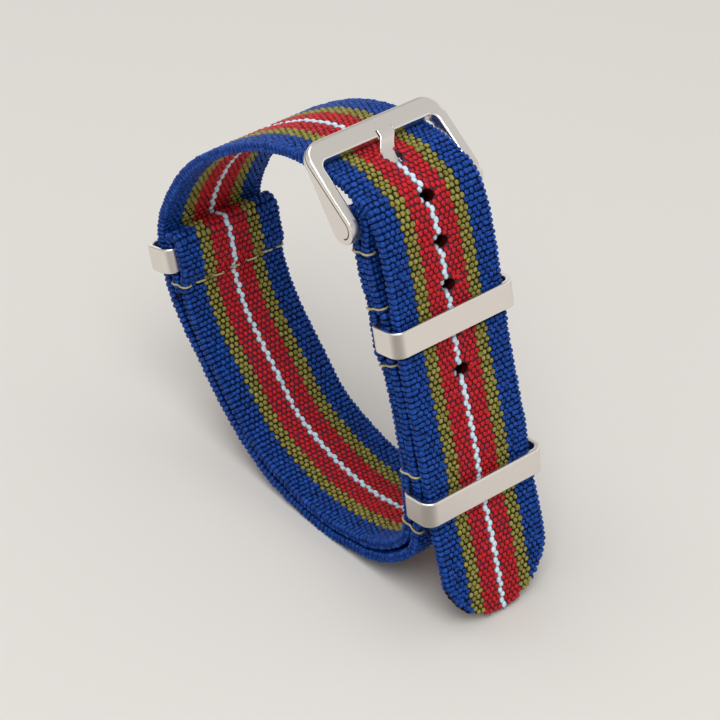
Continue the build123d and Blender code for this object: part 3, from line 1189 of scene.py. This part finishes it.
    def _ribs(self) -> list[Object]:
        """Makes the broad ribs that the outermost warp ends form along each edge.

        Returns:
            The rib of each edge, still flat.
        """
        height = self.line.thickness / 2 - RIB.through
        pieces = []
        for side, label in ((-1, "left"), (1, "right")):
            spots = [
                (place, side * (self.width / 2 - inset), face * height)
                for place in self.rows
                for face in (1, -1)
                for inset in self.rib_insets
            ]
            centres, sizes = self._kept(*RIB.placed(np.array(spots), self.random))
            pieces.append(self._strewn(f"rib_{label}", centres, sizes, self.finishes[Yarn.BLUE]))
        return pieces

    def _edge_loops(self) -> Object:
        """Makes the loops that carry the ribs of the outer face round both edges.

        Returns:
            The loops, as one flat piece.
        """
        centres = []
        for side in (-1, 1):
            across = side * (self.width / 2 - EDGE_LOOP.across)
            for place in self.rows:
                share = self._tip_share(place) if self.rounded_tip else 1.0
                if share >= self.last_loop:
                    centres.append((place, across * share, 0.0))
        return self._strewn("edge_loops", *EDGE_LOOP.placed(np.array(centres), self.random), self.edge)


@dataclass
class Thread:
    """A sewn row: round thread that dips into the webbing between stitches and wraps its edges.

    The bend share is where a stitch starts to dip, as a share of its half length, and the wrap insets are
    how far in from the strap's edge the bends of the wrapping thread lie.
    """

    node: str
    finish: Material
    radius: float = 0.17 * MM
    half_stitch: float = 1.0 * MM
    dip: float = 0.42 * MM
    sink: float = 0.28 * MM
    rise: float = 0.14 * MM
    bend_share: float = 0.72
    slip: float = 0.07 * MM
    slant: float = 0.09 * MM
    wrap_slant: float = 0.12 * MM
    wrap_sink: float = 0.02 * MM
    wrap_insets: tuple[float, ...] = (1.5 * MM, 1.2 * MM, 0.25 * MM, -0.08 * MM, 0.12 * MM)
    strap_edge: float = 10.0 * MM
    seed: int = 3

    def build(self) -> Object:
        """Builds the row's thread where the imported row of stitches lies.

        Returns:
            The row, as one piece.
        """
        self.random = np.random.default_rng(self.seed)
        self.curve = round_line(self.node + "_line", self.radius, bevel_resolution=3, resolution_u=6)
        places = self._layout()
        for place in places:
            for face in (1, -1):
                self._stitch(face, place)
        for side in (-1, 1):
            self._wrap(side)
        mesh = curve_mesh(self.curve)
        keep_flat(mesh, read_points(mesh)[:, [1, 0, 2]])
        piece = new_object(self.node + "_thread", mesh)
        dress(piece, self.finish)
        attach(piece, Body.STRAP.value)
        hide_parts(self.node)
        log.info("%s: %d faces", piece.name, len(piece.data.polygons))
        return piece

    def _layout(self) -> list[float]:
        """Reads the row's middle, the direction that its faces look in and their reach.

        Returns:
            Where across the strap each stitch's middle is.
        """
        # The two faces' stitches pair up across the strap, the one with the lower X first
        centres = sorted(self._solid_centres(), key=lambda point: (round(point.y / NEAR), point.x))
        faces = centres[1:-1]
        middle = sum(faces, Vector()) / len(faces)
        self.middle = Vector((middle.x, 0, middle.z))
        span = faces[0] - faces[1]
        self.out = span.normalized()
        self.side = Vector((-self.out.z, 0, self.out.x))
        self.reach = span.length / 2 - self.sink
        return [(first.y + second.y) / 2 for first, second in zip(faces[::2], faces[1::2])]

    def _solid_centres(self) -> list[Vector]:
        """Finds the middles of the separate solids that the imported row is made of.

        Returns:
            The middle of each solid's box.
        """
        work = worked(packed_mesh(self.node))
        centres = []
        left = set(work.verts)
        while left:
            island, todo = [], [left.pop()]
            while todo:
                vertex = todo.pop()
                island.append(vertex.co.copy())
                for edge in vertex.link_edges:
                    other = edge.other_vert(vertex)
                    if other in left:
                        left.remove(other)
                        todo.append(other)
            columns = list(zip(*island))
            lowest, highest = (Vector(map(pick, columns)) for pick in (min, max))
            centres.append((lowest + highest) / 2)
        work.free()
        return centres

    def _add_line(self, points: list[Vector]) -> None:
        """Adds one smooth thread through the given points.

        Args:
            points: The points, in order.
        """
        spline = self.curve.splines.new("BEZIER")
        spline.bezier_points.add(len(points) - 1)
        for knot, point in zip(spline.bezier_points, points):
            knot.co = point
            knot.handle_left_type = knot.handle_right_type = "AUTO"

    def _stitch(self, face: int, place: float) -> None:
        """Adds one stitch that lies on a face and dips at both ends.

        Args:
            face: Which face, 1 or -1.
            place: Where across the strap the stitch's middle is.
        """
        slip = Vector(self.random.normal(size=3) * self.slip)
        low = self.out * (face * (self.reach - self.dip))
        high = self.out * (face * (self.reach + self.rise))
        shares = (-1.0, -self.bend_share, 0.0, self.bend_share, 1.0)
        slant = self.side * self.slant
        points = []
        for share, height in zip(shares, (low, high, high, high, low)):
            across = Vector((0, place + share * self.half_stitch, 0))
            points.append(self.middle + height + across + slant * share + slip)
        self._add_line(points)

    def _wrap(self, side: int) -> None:
        """Adds the thread that wraps one edge and draws the two layers together.

        Args:
            side: Which edge, -1 or 1.
        """
        reach = self.reach
        heights = (reach - self.dip, reach, reach - self.wrap_sink, reach * 0.5, 0.0)
        corners = [(self.strap_edge - inset, height) for inset, height in zip(self.wrap_insets, heights)]
        corners += [(across, -height) for across, height in reversed(corners[:-1])]
        slant = self.side * self.wrap_slant
        points = []
        for number, (across, height) in enumerate(corners):
            place = self.middle + Vector((0, side * across, 0))
            points.append(place + self.out * height + slant * (number / 4 - 1))
        self._add_line(points)


# Studio


@dataclass
class Studio:
    """The floor, the lights and the camera.

    The dim and glow values change only what the metal mirrors: a darker floor on the camera's side, and a
    brighter one far off. The glossy ones are how bright the room looks in it.
    """

    target: Place = (2.92 * MM, 0.0, 27.64 * MM)
    azimuth: float = 50.63
    elevation: float = 36.507
    distance: float = 414.047 * MM
    lens: float = 135.0
    sensor: float = 36.0
    clip_start: float = 10.0 * MM
    floor_colour: Colour = (0.705, 0.685, 0.652)
    floor_half: float = 4.0
    floor_roughness: float = 0.9
    floor_shine: float = 0.1
    room_colour: Colour = (1.0, 0.99, 0.975)
    fill: float = 0.61
    glossy_low: float = 0.69
    glossy_high: float = 0.68
    glossy_swing: float = 0.40
    patch_scale: float = 1.3
    patch_low: float = 0.3
    patch_high: float = 0.7
    dim_colour: Colour = (0.10, 0.085, 0.07)
    dim_from: float = 0.55
    dim_to: float = 0.97
    dim_most: float = 0.65
    glow_colour: Colour = (1.0, 0.97, 0.93)
    glow_from: float = 60.0 * MM
    glow_to: float = 300.0 * MM
    glow_most: float = 0.15
    lamp_size: float = 0.40
    lamps: tuple[tuple[str, Place, float], ...] = (
        ("key", (0.31, -0.22, 0.66), 2.4),
        ("side", (-0.26, -0.06, 0.76), 1.1),
    )

    def build(self) -> None:
        """Sets up everything that isn't the object."""
        self._camera()
        self._floor()
        self._world()
        for name, place, power in self.lamps:
            self._lamp(name, place, power)
        bpy.context.scene.view_settings.view_transform = "Standard"

    def _camera(self) -> None:
        """Places the camera at the photograph's angle."""
        around, up = math.radians(self.azimuth), math.radians(self.elevation)
        out = Vector((math.sin(around) * math.cos(up), -math.cos(around) * math.cos(up), math.sin(up)))
        camera = new_object("camera", bpy.data.cameras.new("camera"))
        camera.location = Vector(self.target) + out * self.distance
        camera.rotation_euler = out.to_track_quat("Z", "Y").to_euler()
        camera.data.lens = self.lens
        camera.data.sensor_width = self.sensor
        camera.data.clip_start = self.clip_start
        bpy.context.scene.camera = camera

    def _floor(self) -> None:
        """Makes the plain pale floor."""
        work = bmesh.new()
        bmesh.ops.create_grid(work, x_segments=1, y_segments=1, size=self.floor_half)
        floor = new_object("floor", as_mesh("floor", work))
        material, tree, shader = new_material("pale floor")
        feed(tree, shader["Roughness"], self.floor_roughness)
        feed(tree, shader["Specular IOR Level"], self.floor_shine)
        self._reflections(tree, shader)
        floor.data.materials.append(material)

    def _reflections(self, tree: NodeTree, shader: NodeInputs) -> None:
        """Makes the floor look darker on the camera's side, and brighter far off, where metal mirrors it.

        Args:
            tree: The floor material's nodes.
            shader: The inputs of the floor's shader.
        """
        around = math.radians(self.azimuth)
        place = tree.nodes.new("ShaderNodeTexCoord").outputs["Object"]
        mirrored = tree.nodes.new("ShaderNodeLightPath").outputs["Is Glossy Ray"]
        direction = vector_node(tree, "NORMALIZE", place)
        camera_side = (math.sin(around), -math.cos(around), 0.0)
        towards = vector_node(tree, "DOT_PRODUCT", direction, camera_side)
        fade = range_node(tree, towards, self.dim_from, self.dim_to, to_high=self.dim_most).outputs[0]
        share = math_node(tree, "MULTIPLY", fade, mirrored)
        pale, dim = (*self.floor_colour, 1.0), (*self.dim_colour, 1.0)
        feed(tree, shader["Base Color"], mix_node(tree, share, pale, dim))
        far = vector_node(tree, "LENGTH", place)
        glow = range_node(tree, far, self.glow_from, self.glow_to, to_high=self.glow_most).outputs[0]
        seen = math_node(tree, "MULTIPLY", glow, mirrored)
        lit = math_node(tree, "MULTIPLY", seen, math_node(tree, "SUBTRACT", 1.0, fade))
        feed(tree, shader["Emission Color"], (*self.glow_colour, 1.0))
        feed(tree, shader["Emission Strength"], lit)

    def _world(self) -> None:
        """Lights the scene evenly from all round, and gives the metal a paler room to reflect."""
        world = bpy.data.worlds.new("soft room")
        world.use_nodes = True
        tree = world.node_tree
        background = tree.nodes["Background"].inputs
        feed(tree, background["Color"], (*self.room_colour, 1.0))
        mirrored = tree.nodes.new("ShaderNodeLightPath").outputs["Is Glossy Ray"]
        place = tree.nodes.new("ShaderNodeTexCoord").outputs["Generated"]
        parts = add_node(tree, "ShaderNodeSeparateXYZ", Vector=place)
        ends = {"to_low": self.glossy_low, "to_high": self.glossy_high}
        height = range_node(tree, parts.outputs["Z"], **ends)
        noise = add_node(tree, "ShaderNodeTexNoise", Vector=place, Scale=self.patch_scale, Detail=0.0)
        low, high = 1 - self.glossy_swing, 1 + self.glossy_swing
        swing = range_node(tree, noise.outputs["Fac"], self.patch_low, self.patch_high, low, high)
        room = math_node(tree, "MULTIPLY", height.outputs[0], swing.outputs[0])
        feed(tree, background["Strength"], mix_node(tree, mirrored, self.fill, room, "FLOAT"))
        bpy.context.scene.world = world

    def _lamp(self, name: str, place: Place, power: float) -> None:
        """Adds one soft square lamp that faces the object.

        Args:
            name: The lamp's name.
            place: Where it hangs, in metres.
            power: Its power in watts.
        """
        lamp = bpy.data.lights.new(name, "AREA")
        lamp.size = self.lamp_size
        lamp.energy = power
        holder = new_object(name, lamp)
        holder.location = place
        holder.rotation_euler = (Vector(place) - Vector(self.target)).to_track_quat("Z", "Y").to_euler()


# Metal


def block(low: Place, high: Place) -> BMesh:
    """Makes a box.

    Args:
        low: Its lowest corner.
        high: Its highest corner.

    Returns:
        The box, as a mesh to work on.
    """
    work = bmesh.new()
    bmesh.ops.create_cube(work, size=1.0)
    bmesh.ops.scale(work, verts=work.verts, vec=Vector(high) - Vector(low))
    bmesh.ops.translate(work, verts=work.verts, vec=(Vector(high) + Vector(low)) / 2)
    return work


def rod(radius: float, length: float) -> BMesh:
    """Makes a rod about the Y axis.

    Args:
        radius: Its radius.
        length: Its length.

    Returns:
        The rod, as a mesh to work on.
    """
    work = bmesh.new()
    turn = Matrix.Rotation(math.pi / 2, 4, "X")
    bmesh.ops.create_cone(
        work, cap_ends=True, segments=64, radius1=radius, radius2=radius, depth=length, matrix=turn
    )
    return work


def bevel(work: BMesh, edges: list[BMEdge], width: float, segments: int) -> list[BMFace]:
    """Bevels some edges of a worked mesh.

    Args:
        work: The mesh.
        edges: The edges.
        width: The width of the bevel.
        segments: The number of faces across it.

    Returns:
        The new faces.
    """
    return bmesh.ops.bevel(
        work, geom=edges, offset=width, segments=segments, profile=0.5, affect="EDGES", material=-1
    )["faces"]


def round_uprights(work: BMesh, below: float, radius: float) -> None:
    """Rounds the edges of a box that run through the frame and lie below a place along X.

    Args:
        work: The box.
        below: The place along X.
        radius: The radius that the edges get.
    """
    chosen = []
    for edge in work.edges:
        first, last = (vertex.co for vertex in edge.verts)
        upright = abs(first.x - last.x) < NEAR and abs(first.y - last.y) < NEAR
        if upright and first.x < below:
            chosen.append(edge)
    bevel(work, chosen, radius, segments=12)


def drop_loose(work: BMesh) -> None:
    """Deletes the edges of a worked mesh that have no face."""
    loose = [edge for edge in work.edges if not edge.link_faces]
    bmesh.ops.delete(work, geom=loose, context="EDGES")


def combine(piece: Object, other: Object, operation: str = "DIFFERENCE") -> None:
    """Joins, cuts or intersects metal pieces, in millimetres, in which small cuts stay exact.

    Args:
        piece: The piece that is changed.
        other: The other object, which is removed.
        operation: UNION, DIFFERENCE or INTERSECT.
    """
    for mesh in (piece.data, other.data):
        mesh.transform(Matrix.Scale(1 / MM, 4))
    cut_by(piece, other, operation)
    clean(piece)
    piece.data.transform(Matrix.Scale(MM, 4))


def clean(piece: Object, merge: float = 0.001, flat_angle: float = 0.002) -> None:
    """Clears up after a cut: doubled vertices, loose edges, split flat faces and inward faces.

    Args:
        piece: The piece, in millimetres.
        merge: The distance within which vertices are merged.
        flat_angle: The angle in radians up to which faces count as one.
    """
    work = bmesh.new()
    work.from_mesh(piece.data)
    bmesh.ops.remove_doubles(work, verts=work.verts, dist=merge)
    drop_loose(work)
    bmesh.ops.dissolve_limit(work, angle_limit=flat_angle, verts=work.verts, edges=work.edges)
    bmesh.ops.recalc_face_normals(work, faces=work.faces)
    work.to_mesh(piece.data)
    work.free()


def round_edges(piece: Object, width: float, angle: float, material: int) -> None:
    """Rounds a piece's sharp edges and keeps its flat faces flat.

    Args:
        piece: The piece.
        width: The width of the rounding.
        angle: The least angle, in degrees, of an edge that is rounded.
        material: The material slot of the rounded faces, or -1 for that of the faces beside them.
    """
    change = piece.modifiers.new("edges", "BEVEL")
    change.width = width
    change.segments = 3
    change.limit_method = "ANGLE"
    change.angle_limit = math.radians(angle)
    change.material = material
    change.use_clamp_overlap = False
    applied(piece)


@dataclass
class Metal:
    """A metal piece with satin faces and polished edges."""

    satin: Material
    polished: Material
    gap: Material
    sharp_angle: float = field(default=38.0, kw_only=True)

    def _declare(self, piece: Object, body: str, node: str) -> None:
        """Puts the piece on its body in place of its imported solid.

        Args:
            piece: The piece.
            body: The body that it rides on.
            node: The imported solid.
        """
        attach(piece, body)
        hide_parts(node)
        log.info("%s: %d faces", piece.name, len(piece.data.polygons))

    def _give_slots(self, piece: Object) -> Object:
        """Gives a piece its satin, polished and gap slots.

        Args:
            piece: The piece.

        Returns:
            The same piece.
        """
        for material in (self.satin, self.polished, self.gap):
            piece.data.materials.append(material)
        return piece

    def _shade(self, piece: Object) -> None:
        """Shades a piece smooth, with its flat faces kept flat.

        Args:
            piece: The piece.
        """
        piece.data.polygons.foreach_set("use_smooth", [True] * len(piece.data.polygons))
        piece.data.set_sharp_from_angle(angle=math.radians(self.sharp_angle))
        change = piece.modifiers.new("flat faces", "WEIGHTED_NORMAL")
        change.keep_sharp = True
        change.weight = 100


@dataclass
class Buckle(Metal):
    """The buckle's frame and tongue, built in the buckle's own directions about its pin.

    X runs from the crossbar past the pin, Y along the pin and Z out of the frame's face. A crease is the
    least angle, in radians, between two faces whose edge is bevelled.
    """

    pin: Place
    tilt: float = BUCKLE_TILT
    length: float = 12.9 * MM
    width: float = 24.6 * MM
    arm_width: float = 1.7 * MM
    bar_width: float = 3.3 * MM
    bar_thickness: float = 1.8 * MM
    lobe: float = 2.4 * MM
    corner: float = 3.0 * MM
    window_corner: float = 1.2 * MM
    rim: float = 0.36 * MM
    rim_foot: float = 0.35
    edge: float = 0.10 * MM
    edge_angle: float = 35.0
    soft_edge: float = 0.55 * MM
    crease: float = 0.5
    pin_radius: float = 0.9 * MM
    bore_wall: float = 0.6 * MM
    groove_depth: float = 0.85 * MM
    groove_radius: float = 0.10 * MM
    corner_angles: range = range(60, -1, -10)
    lobe_angles: range = range(90, -37, -14)
    tongue_width: float = 2.7 * MM
    tongue_thickness: float = 0.9 * MM
    tongue_overlap: float = 1.0 * MM
    tongue_edge: float = 0.17 * MM
    tongue_cuts: int = 36
    tongue_aside: float = 1.6 * MM
    aside_run: float = 3.0 * MM
    tongue_dip: float = 0.60 * MM
    dip_start: float = 0.05 * MM
    dip_run: float = 1.6 * MM
    root_run: float = 4.8 * MM
    loop_wall: float = 0.75 * MM
    notch_gap: float = 0.30 * MM
    notch_fit: float = 0.006 * MM
    small_gap: float = 0.06 * MM

    def build(self) -> None:
        """Builds both pieces."""
        self.place = Matrix.Translation(self.pin) @ Matrix.Rotation(math.radians(self.tilt), 4, "Y")
        self.half = self.width / 2
        self.inner = self.half - self.arm_width
        self.window_edge = self.length - self.bar_width
        self._declare(self._frame(), Body.BUCKLE.value, "buckle_frame")
        self._declare(self._tongue(), Body.TONGUE.value, "tongue")

    def _frame(self) -> Object:
        """Builds the crossbar, arms and lobes from simple solids.

        Returns:
            The frame, in its place.
        """
        half, inner, lobe, ahead = self.half, self.inner, self.lobe, -self.window_edge
        foot = lobe - self.bar_thickness
        piece = self._give_slots(finished("buckle_frame_metal", self._side_plates(foot)))
        bar = block((-self.length, -half, foot), (ahead + self.small_gap, half, lobe))
        combine(piece, finished("bar", bar), "UNION")
        outside = block((-self.length, -half, -2 * lobe), (2 * lobe, half, lobe))
        round_uprights(outside, ahead, self.corner)
        combine(piece, finished("outside", outside), "INTERSECT")
        self._round_crossbar(piece)
        window = block((ahead, -inner, -3 * lobe), (3 * lobe, inner, 3 * lobe))
        round_uprights(window, 0.0, self.window_corner)
        combine(piece, finished("window", window))
        self._bevel_rim(piece)
        bore = rod(self.pin_radius + self.small_gap / 2, self.width - 2 * self.bore_wall)
        combine(piece, finished("bore", bore))
        round_edges(piece, self.edge, self.edge_angle, Slot.POLISHED)
        self._cut_notch(piece)
        for side in (-1, 1):
            cutter = self._give_slots(self._groove_cutter(side))
            cutter.data.polygons.foreach_set("material_index", [Slot.GAP] * len(cutter.data.polygons))
            combine(piece, cutter)
        piece.data.transform(self.place)
        self._shade(piece)
        return piece

    def _side_plates(self, foot: float) -> BMesh:
        """Makes the block that the arms and lobes are cut from: a rod's hull with the end of the bar.

        Args:
            foot: The height of the crossbar's underside.

        Returns:
            The block, as a mesh to work on.
        """
        hull = rod(self.lobe, self.width)
        bar_end = ((-self.window_edge, -self.half, foot), (-self.window_edge / 2, self.half, self.lobe))
        add_copy(hull, block(*bar_end))
        bmesh.ops.delete(hull, geom=hull.edges[:], context="EDGES_FACES")
        bmesh.ops.convex_hull(hull, input=hull.verts[:])
        loose = [vertex for vertex in hull.verts if not vertex.link_faces]
        bmesh.ops.delete(hull, geom=loose, context="VERTS")
        bmesh.ops.dissolve_limit(hull, angle_limit=0.01, verts=hull.verts, edges=hull.edges)
        return hull

    def _round_crossbar(self, piece: Object) -> None:
        """Gives the crossbar's outer edge its soft rounding, which goes round both corners.

        Args:
            piece: The frame.
        """
        work = worked(piece.data)
        chosen = []
        for edge in work.edges:
            points = [vertex.co for vertex in edge.verts]
            top = min(point.z for point in points) > self.lobe - NEAR
            ahead = max(point.x for point in points) < -self.window_edge + MM / 10
            if top and ahead and edge.calc_face_angle(0.0) > self.crease:
                chosen.append(edge)
        bevel(work, chosen, self.soft_edge, segments=5)
        work.to_mesh(piece.data)
        work.free()

    def _bevel_rim(self, piece: Object) -> None:
        """Gives the window's upper edge its broad polished bevel.

        Args:
            piece: The frame.
        """
        work = worked(piece.data)
        drop_loose(work)
        rim = []
        for edge in work.edges:
            first, last = (vertex.co for vertex in edge.verts)
            upright = abs(first.z - last.z) > 10 * max(abs(first.x - last.x), abs(first.y - last.y))
            high = min(first.z, last.z) > self.lobe * self.rim_foot
            beside = max(abs(first.y), abs(last.y)) < self.inner + NEAR
            inward = min(first.x, last.x) > -self.window_edge - NEAR
            if high and beside and inward and not upright and edge.calc_face_angle(0.0) > self.crease:
                rim.append(edge)
        for face in bevel(work, rim, self.rim, segments=3):
            face.material_index = Slot.POLISHED
        work.to_mesh(piece.data)
        work.free()

    def _cut_notch(self, piece: Object) -> None:
        """Cuts the notch that the tongue's tip lies in, with its open gap on the near side.

        Args:
            piece: The frame.
        """
        half = self.tongue_width / 2
        low = (
            -self.window_edge - self.tongue_overlap - self.notch_fit,
            self.tongue_aside - half - self.notch_gap,
            self.lobe - self.tongue_thickness - self.small_gap,
        )
        high = (-self.window_edge / 2, self.tongue_aside + half + self.notch_fit, 2 * self.lobe)
        combine(piece, finished("notch", block(low, high)))

    def _groove_cutter(self, side: int) -> Object:
        """Makes the thin rod that cuts the dark line between an arm's rim and its side plate.

        Args:
            side: Which arm, -1 or 1.

        Returns:
            The rod.
        """
        rise = self.lobe - self.groove_depth
        points = []
        for angle in map(math.radians, self.corner_angles):
            run = -self.length + self.corner - self.corner * math.sin(angle)
            points.append((run, side * (self.half - self.corner + self.corner * math.cos(angle)), rise))
        for angle in map(math.radians, self.lobe_angles):
            points.append((rise * math.cos(angle), side * self.half, rise * math.sin(angle)))
        curve = round_line("groove", self.groove_radius)
        spline = curve.splines.new("POLY")
        spline.points.add(len(points) - 1)
        for knot, point in zip(spline.points, points):
            knot.co = (*point, 1.0)
        return finished("groove_rod", worked(curve_mesh(curve)))

    def _tongue(self) -> Object:
        """Builds the tongue: a flat strip bent down past the crossbar, with its loop round the pin.

        Returns:
            The tongue, in its place.
        """
        half, thick = self.tongue_width / 2, self.tongue_thickness / 2
        strip = block((-self.window_edge - self.tongue_overlap, -half, -thick), (0.0, half, thick))
        for face in bevel(strip, self._long_edges(strip), self.tongue_edge, segments=3):
            face.material_index = Slot.POLISHED
        bmesh.ops.subdivide_edges(
            strip, edges=self._long_edges(strip), cuts=self.tongue_cuts, use_grid_fill=True
        )
        for vertex in strip.verts:
            run = vertex.co.x
            lean = min(max((-run - self.window_edge + self.aside_run) / self.aside_run, 0.0), 1.0)
            vertex.co.z += self._tongue_rise(run)
            vertex.co.y += self.tongue_aside * lean
        piece = self._give_slots(finished("tongue_metal", strip))
        loop = rod(self.pin_radius + self.loop_wall, self.tongue_width)
        combine(piece, finished("loop", loop), "UNION")
        bore = rod(self.pin_radius + self.small_gap, 2 * self.tongue_width)
        combine(piece, finished("bore", bore))
        piece.data.transform(self.place)
        self._shade(piece)
        return piece

    @staticmethod
    def _long_edges(strip: BMesh) -> list[BMEdge]:
        """Returns the edges of a strip that run along it."""
        return [edge for edge in strip.edges if abs(edge.verts[0].co.x - edge.verts[1].co.x) > MM]

    def _tongue_rise(self, run: float) -> float:
        """Finds the height of the strip's middle.

        Args:
            run: The place along the frame.

        Returns:
            The height there over the pin's middle.
        """
        seat = self.lobe - self.tongue_thickness / 2
        bend = min(max((run + self.window_edge - self.dip_start) / self.dip_run, 0.0), 1.0)
        dip = self.tongue_dip * bend * bend * (3 - 2 * bend)
        root = min(max((run + self.root_run) / self.root_run, 0.0), 1.0)
        root_rise = self.pin_radius + self.loop_wall - self.tongue_thickness / 2
        return (seat - dip) * (1 - root) + root_rise * root


@dataclass
class Keepers(Metal):
    """The three flat rings, with satin walls and polished rims."""

    edge: float = 0.14 * MM
    edge_angle: float = 30.0
    rim_lean: float = 0.3

    def build(self) -> None:
        """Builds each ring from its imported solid, with rounder edges."""
        for name in ("upper", "lower", "end"):
            node = f"{name}_keeper"
            axis = Vector(packed_joint(f"{node}_slide")["axis"])
            work = worked(packed_mesh(node))
            bmesh.ops.dissolve_limit(work, angle_limit=0.005, verts=work.verts, edges=work.edges)
            piece = self._give_slots(finished(node + "_metal", work))
            round_edges(piece, self.edge, self.edge_angle, -1)
            self._shade(piece)
            for face in piece.data.polygons:
                rim = abs(face.normal.dot(axis)) > self.rim_lean
                face.material_index = Slot.POLISHED if rim else Slot.SATIN
            self._declare(piece, f"{node}_ring", node)


@dataclass(frozen=True)
class HoleRow:
    """The adjustment holes: the tongue's slot, where the tongue passes the tail, and those after it.

    The pin's place and the buckle's tilt are in the side view, reach and seat are where the tongue
    passes the tail in the buckle's own directions, and lead is how much later the round holes start.
    """

    pin: tuple[float, float]
    tilt: float = BUCKLE_TILT
    seat: float = 1.95 * MM
    reach: float = 5.76 * MM
    pitch: float = 6.8 * MM
    count: int = 6
    lead: float = 1.0 * MM
    radius: float = 1.25 * MM
    slot: float = 1.35 * MM
    slot_aside: float = 0.25 * MM

    def holes(self, line: StrapLine) -> list[Hole]:
        """Lays out the holes.

        Args:
            line: The middle line of the strap that they are in.

        Returns:
            The tongue's slot and the round holes after it.
        """
        lean = math.radians(self.tilt)
        x = self.pin[0] - self.reach * math.cos(lean) + self.seat * math.sin(lean)
        z = self.pin[1] + self.reach * math.sin(lean) + self.seat * math.cos(lean)
        first = line.nearest(x, z)
        places = [first + self.lead + index * self.pitch for index in range(1, self.count)]
        slot = Hole(first, self.slot, self.slot_aside, 1.0, lined=False)
        return [slot, *(Hole(place, self.radius) for place in places)]


def main() -> None:
    """Builds the strap's pieces in order and reports each."""
    logging.basicConfig(level=logging.INFO, format="%(message)s")
    fibres, brushed = fibre_group(), satin_group()
    yarns = {yarn: finish.make(fibres) for yarn, finish in YARNS.items()}
    edge, inner_edge_shaded, thread, hole_shadow = (
        finish.make(fibres) for finish in (EDGE_IN_PAINTED_SHADE, INNER_EDGE_IN_DEEPER_SHADE, THREAD, HOLE_SHADOW)
    )
    ground = GROUND_WITH_GAP_SHADE.make()
    satin, polished, gap = (finish.make(brushed) for finish in (SATIN, POLISHED, GAP))
    pin = packed_joint("buckle_hinge")["pos_m"]
    long_line, short_line = StrapLine("long_strap"), StrapLine("short_strap")
    log.info("lines: %.1f mm and %.1f mm", long_line.length / MM, short_line.length / MM)
    holes = HoleRow((pin[0], pin[2])).holes(long_line)
    Webbing("long_strap", long_line, yarns, ground, edge, hole_shadow, holes, rounded_tip=True).build()
    Webbing("short_strap", short_line, yarns, ground, inner_edge_shaded, hole_shadow, seed=11).build()
    for node in (*(f"stitch_row_{number}" for number in range(1, 6)), "fold_stitch_row"):
        Thread(node, thread).build()
    pin_bar = frame["nodes"]["pin_bar"]
    pin_bar.data.materials.clear()
    pin_bar.data.materials.append(polished)
    Buckle(satin, polished, gap, tuple(pin)).build()
    Keepers(satin, polished, gap).build()
    Studio().build()


if __name__ == "__main__":
    main()
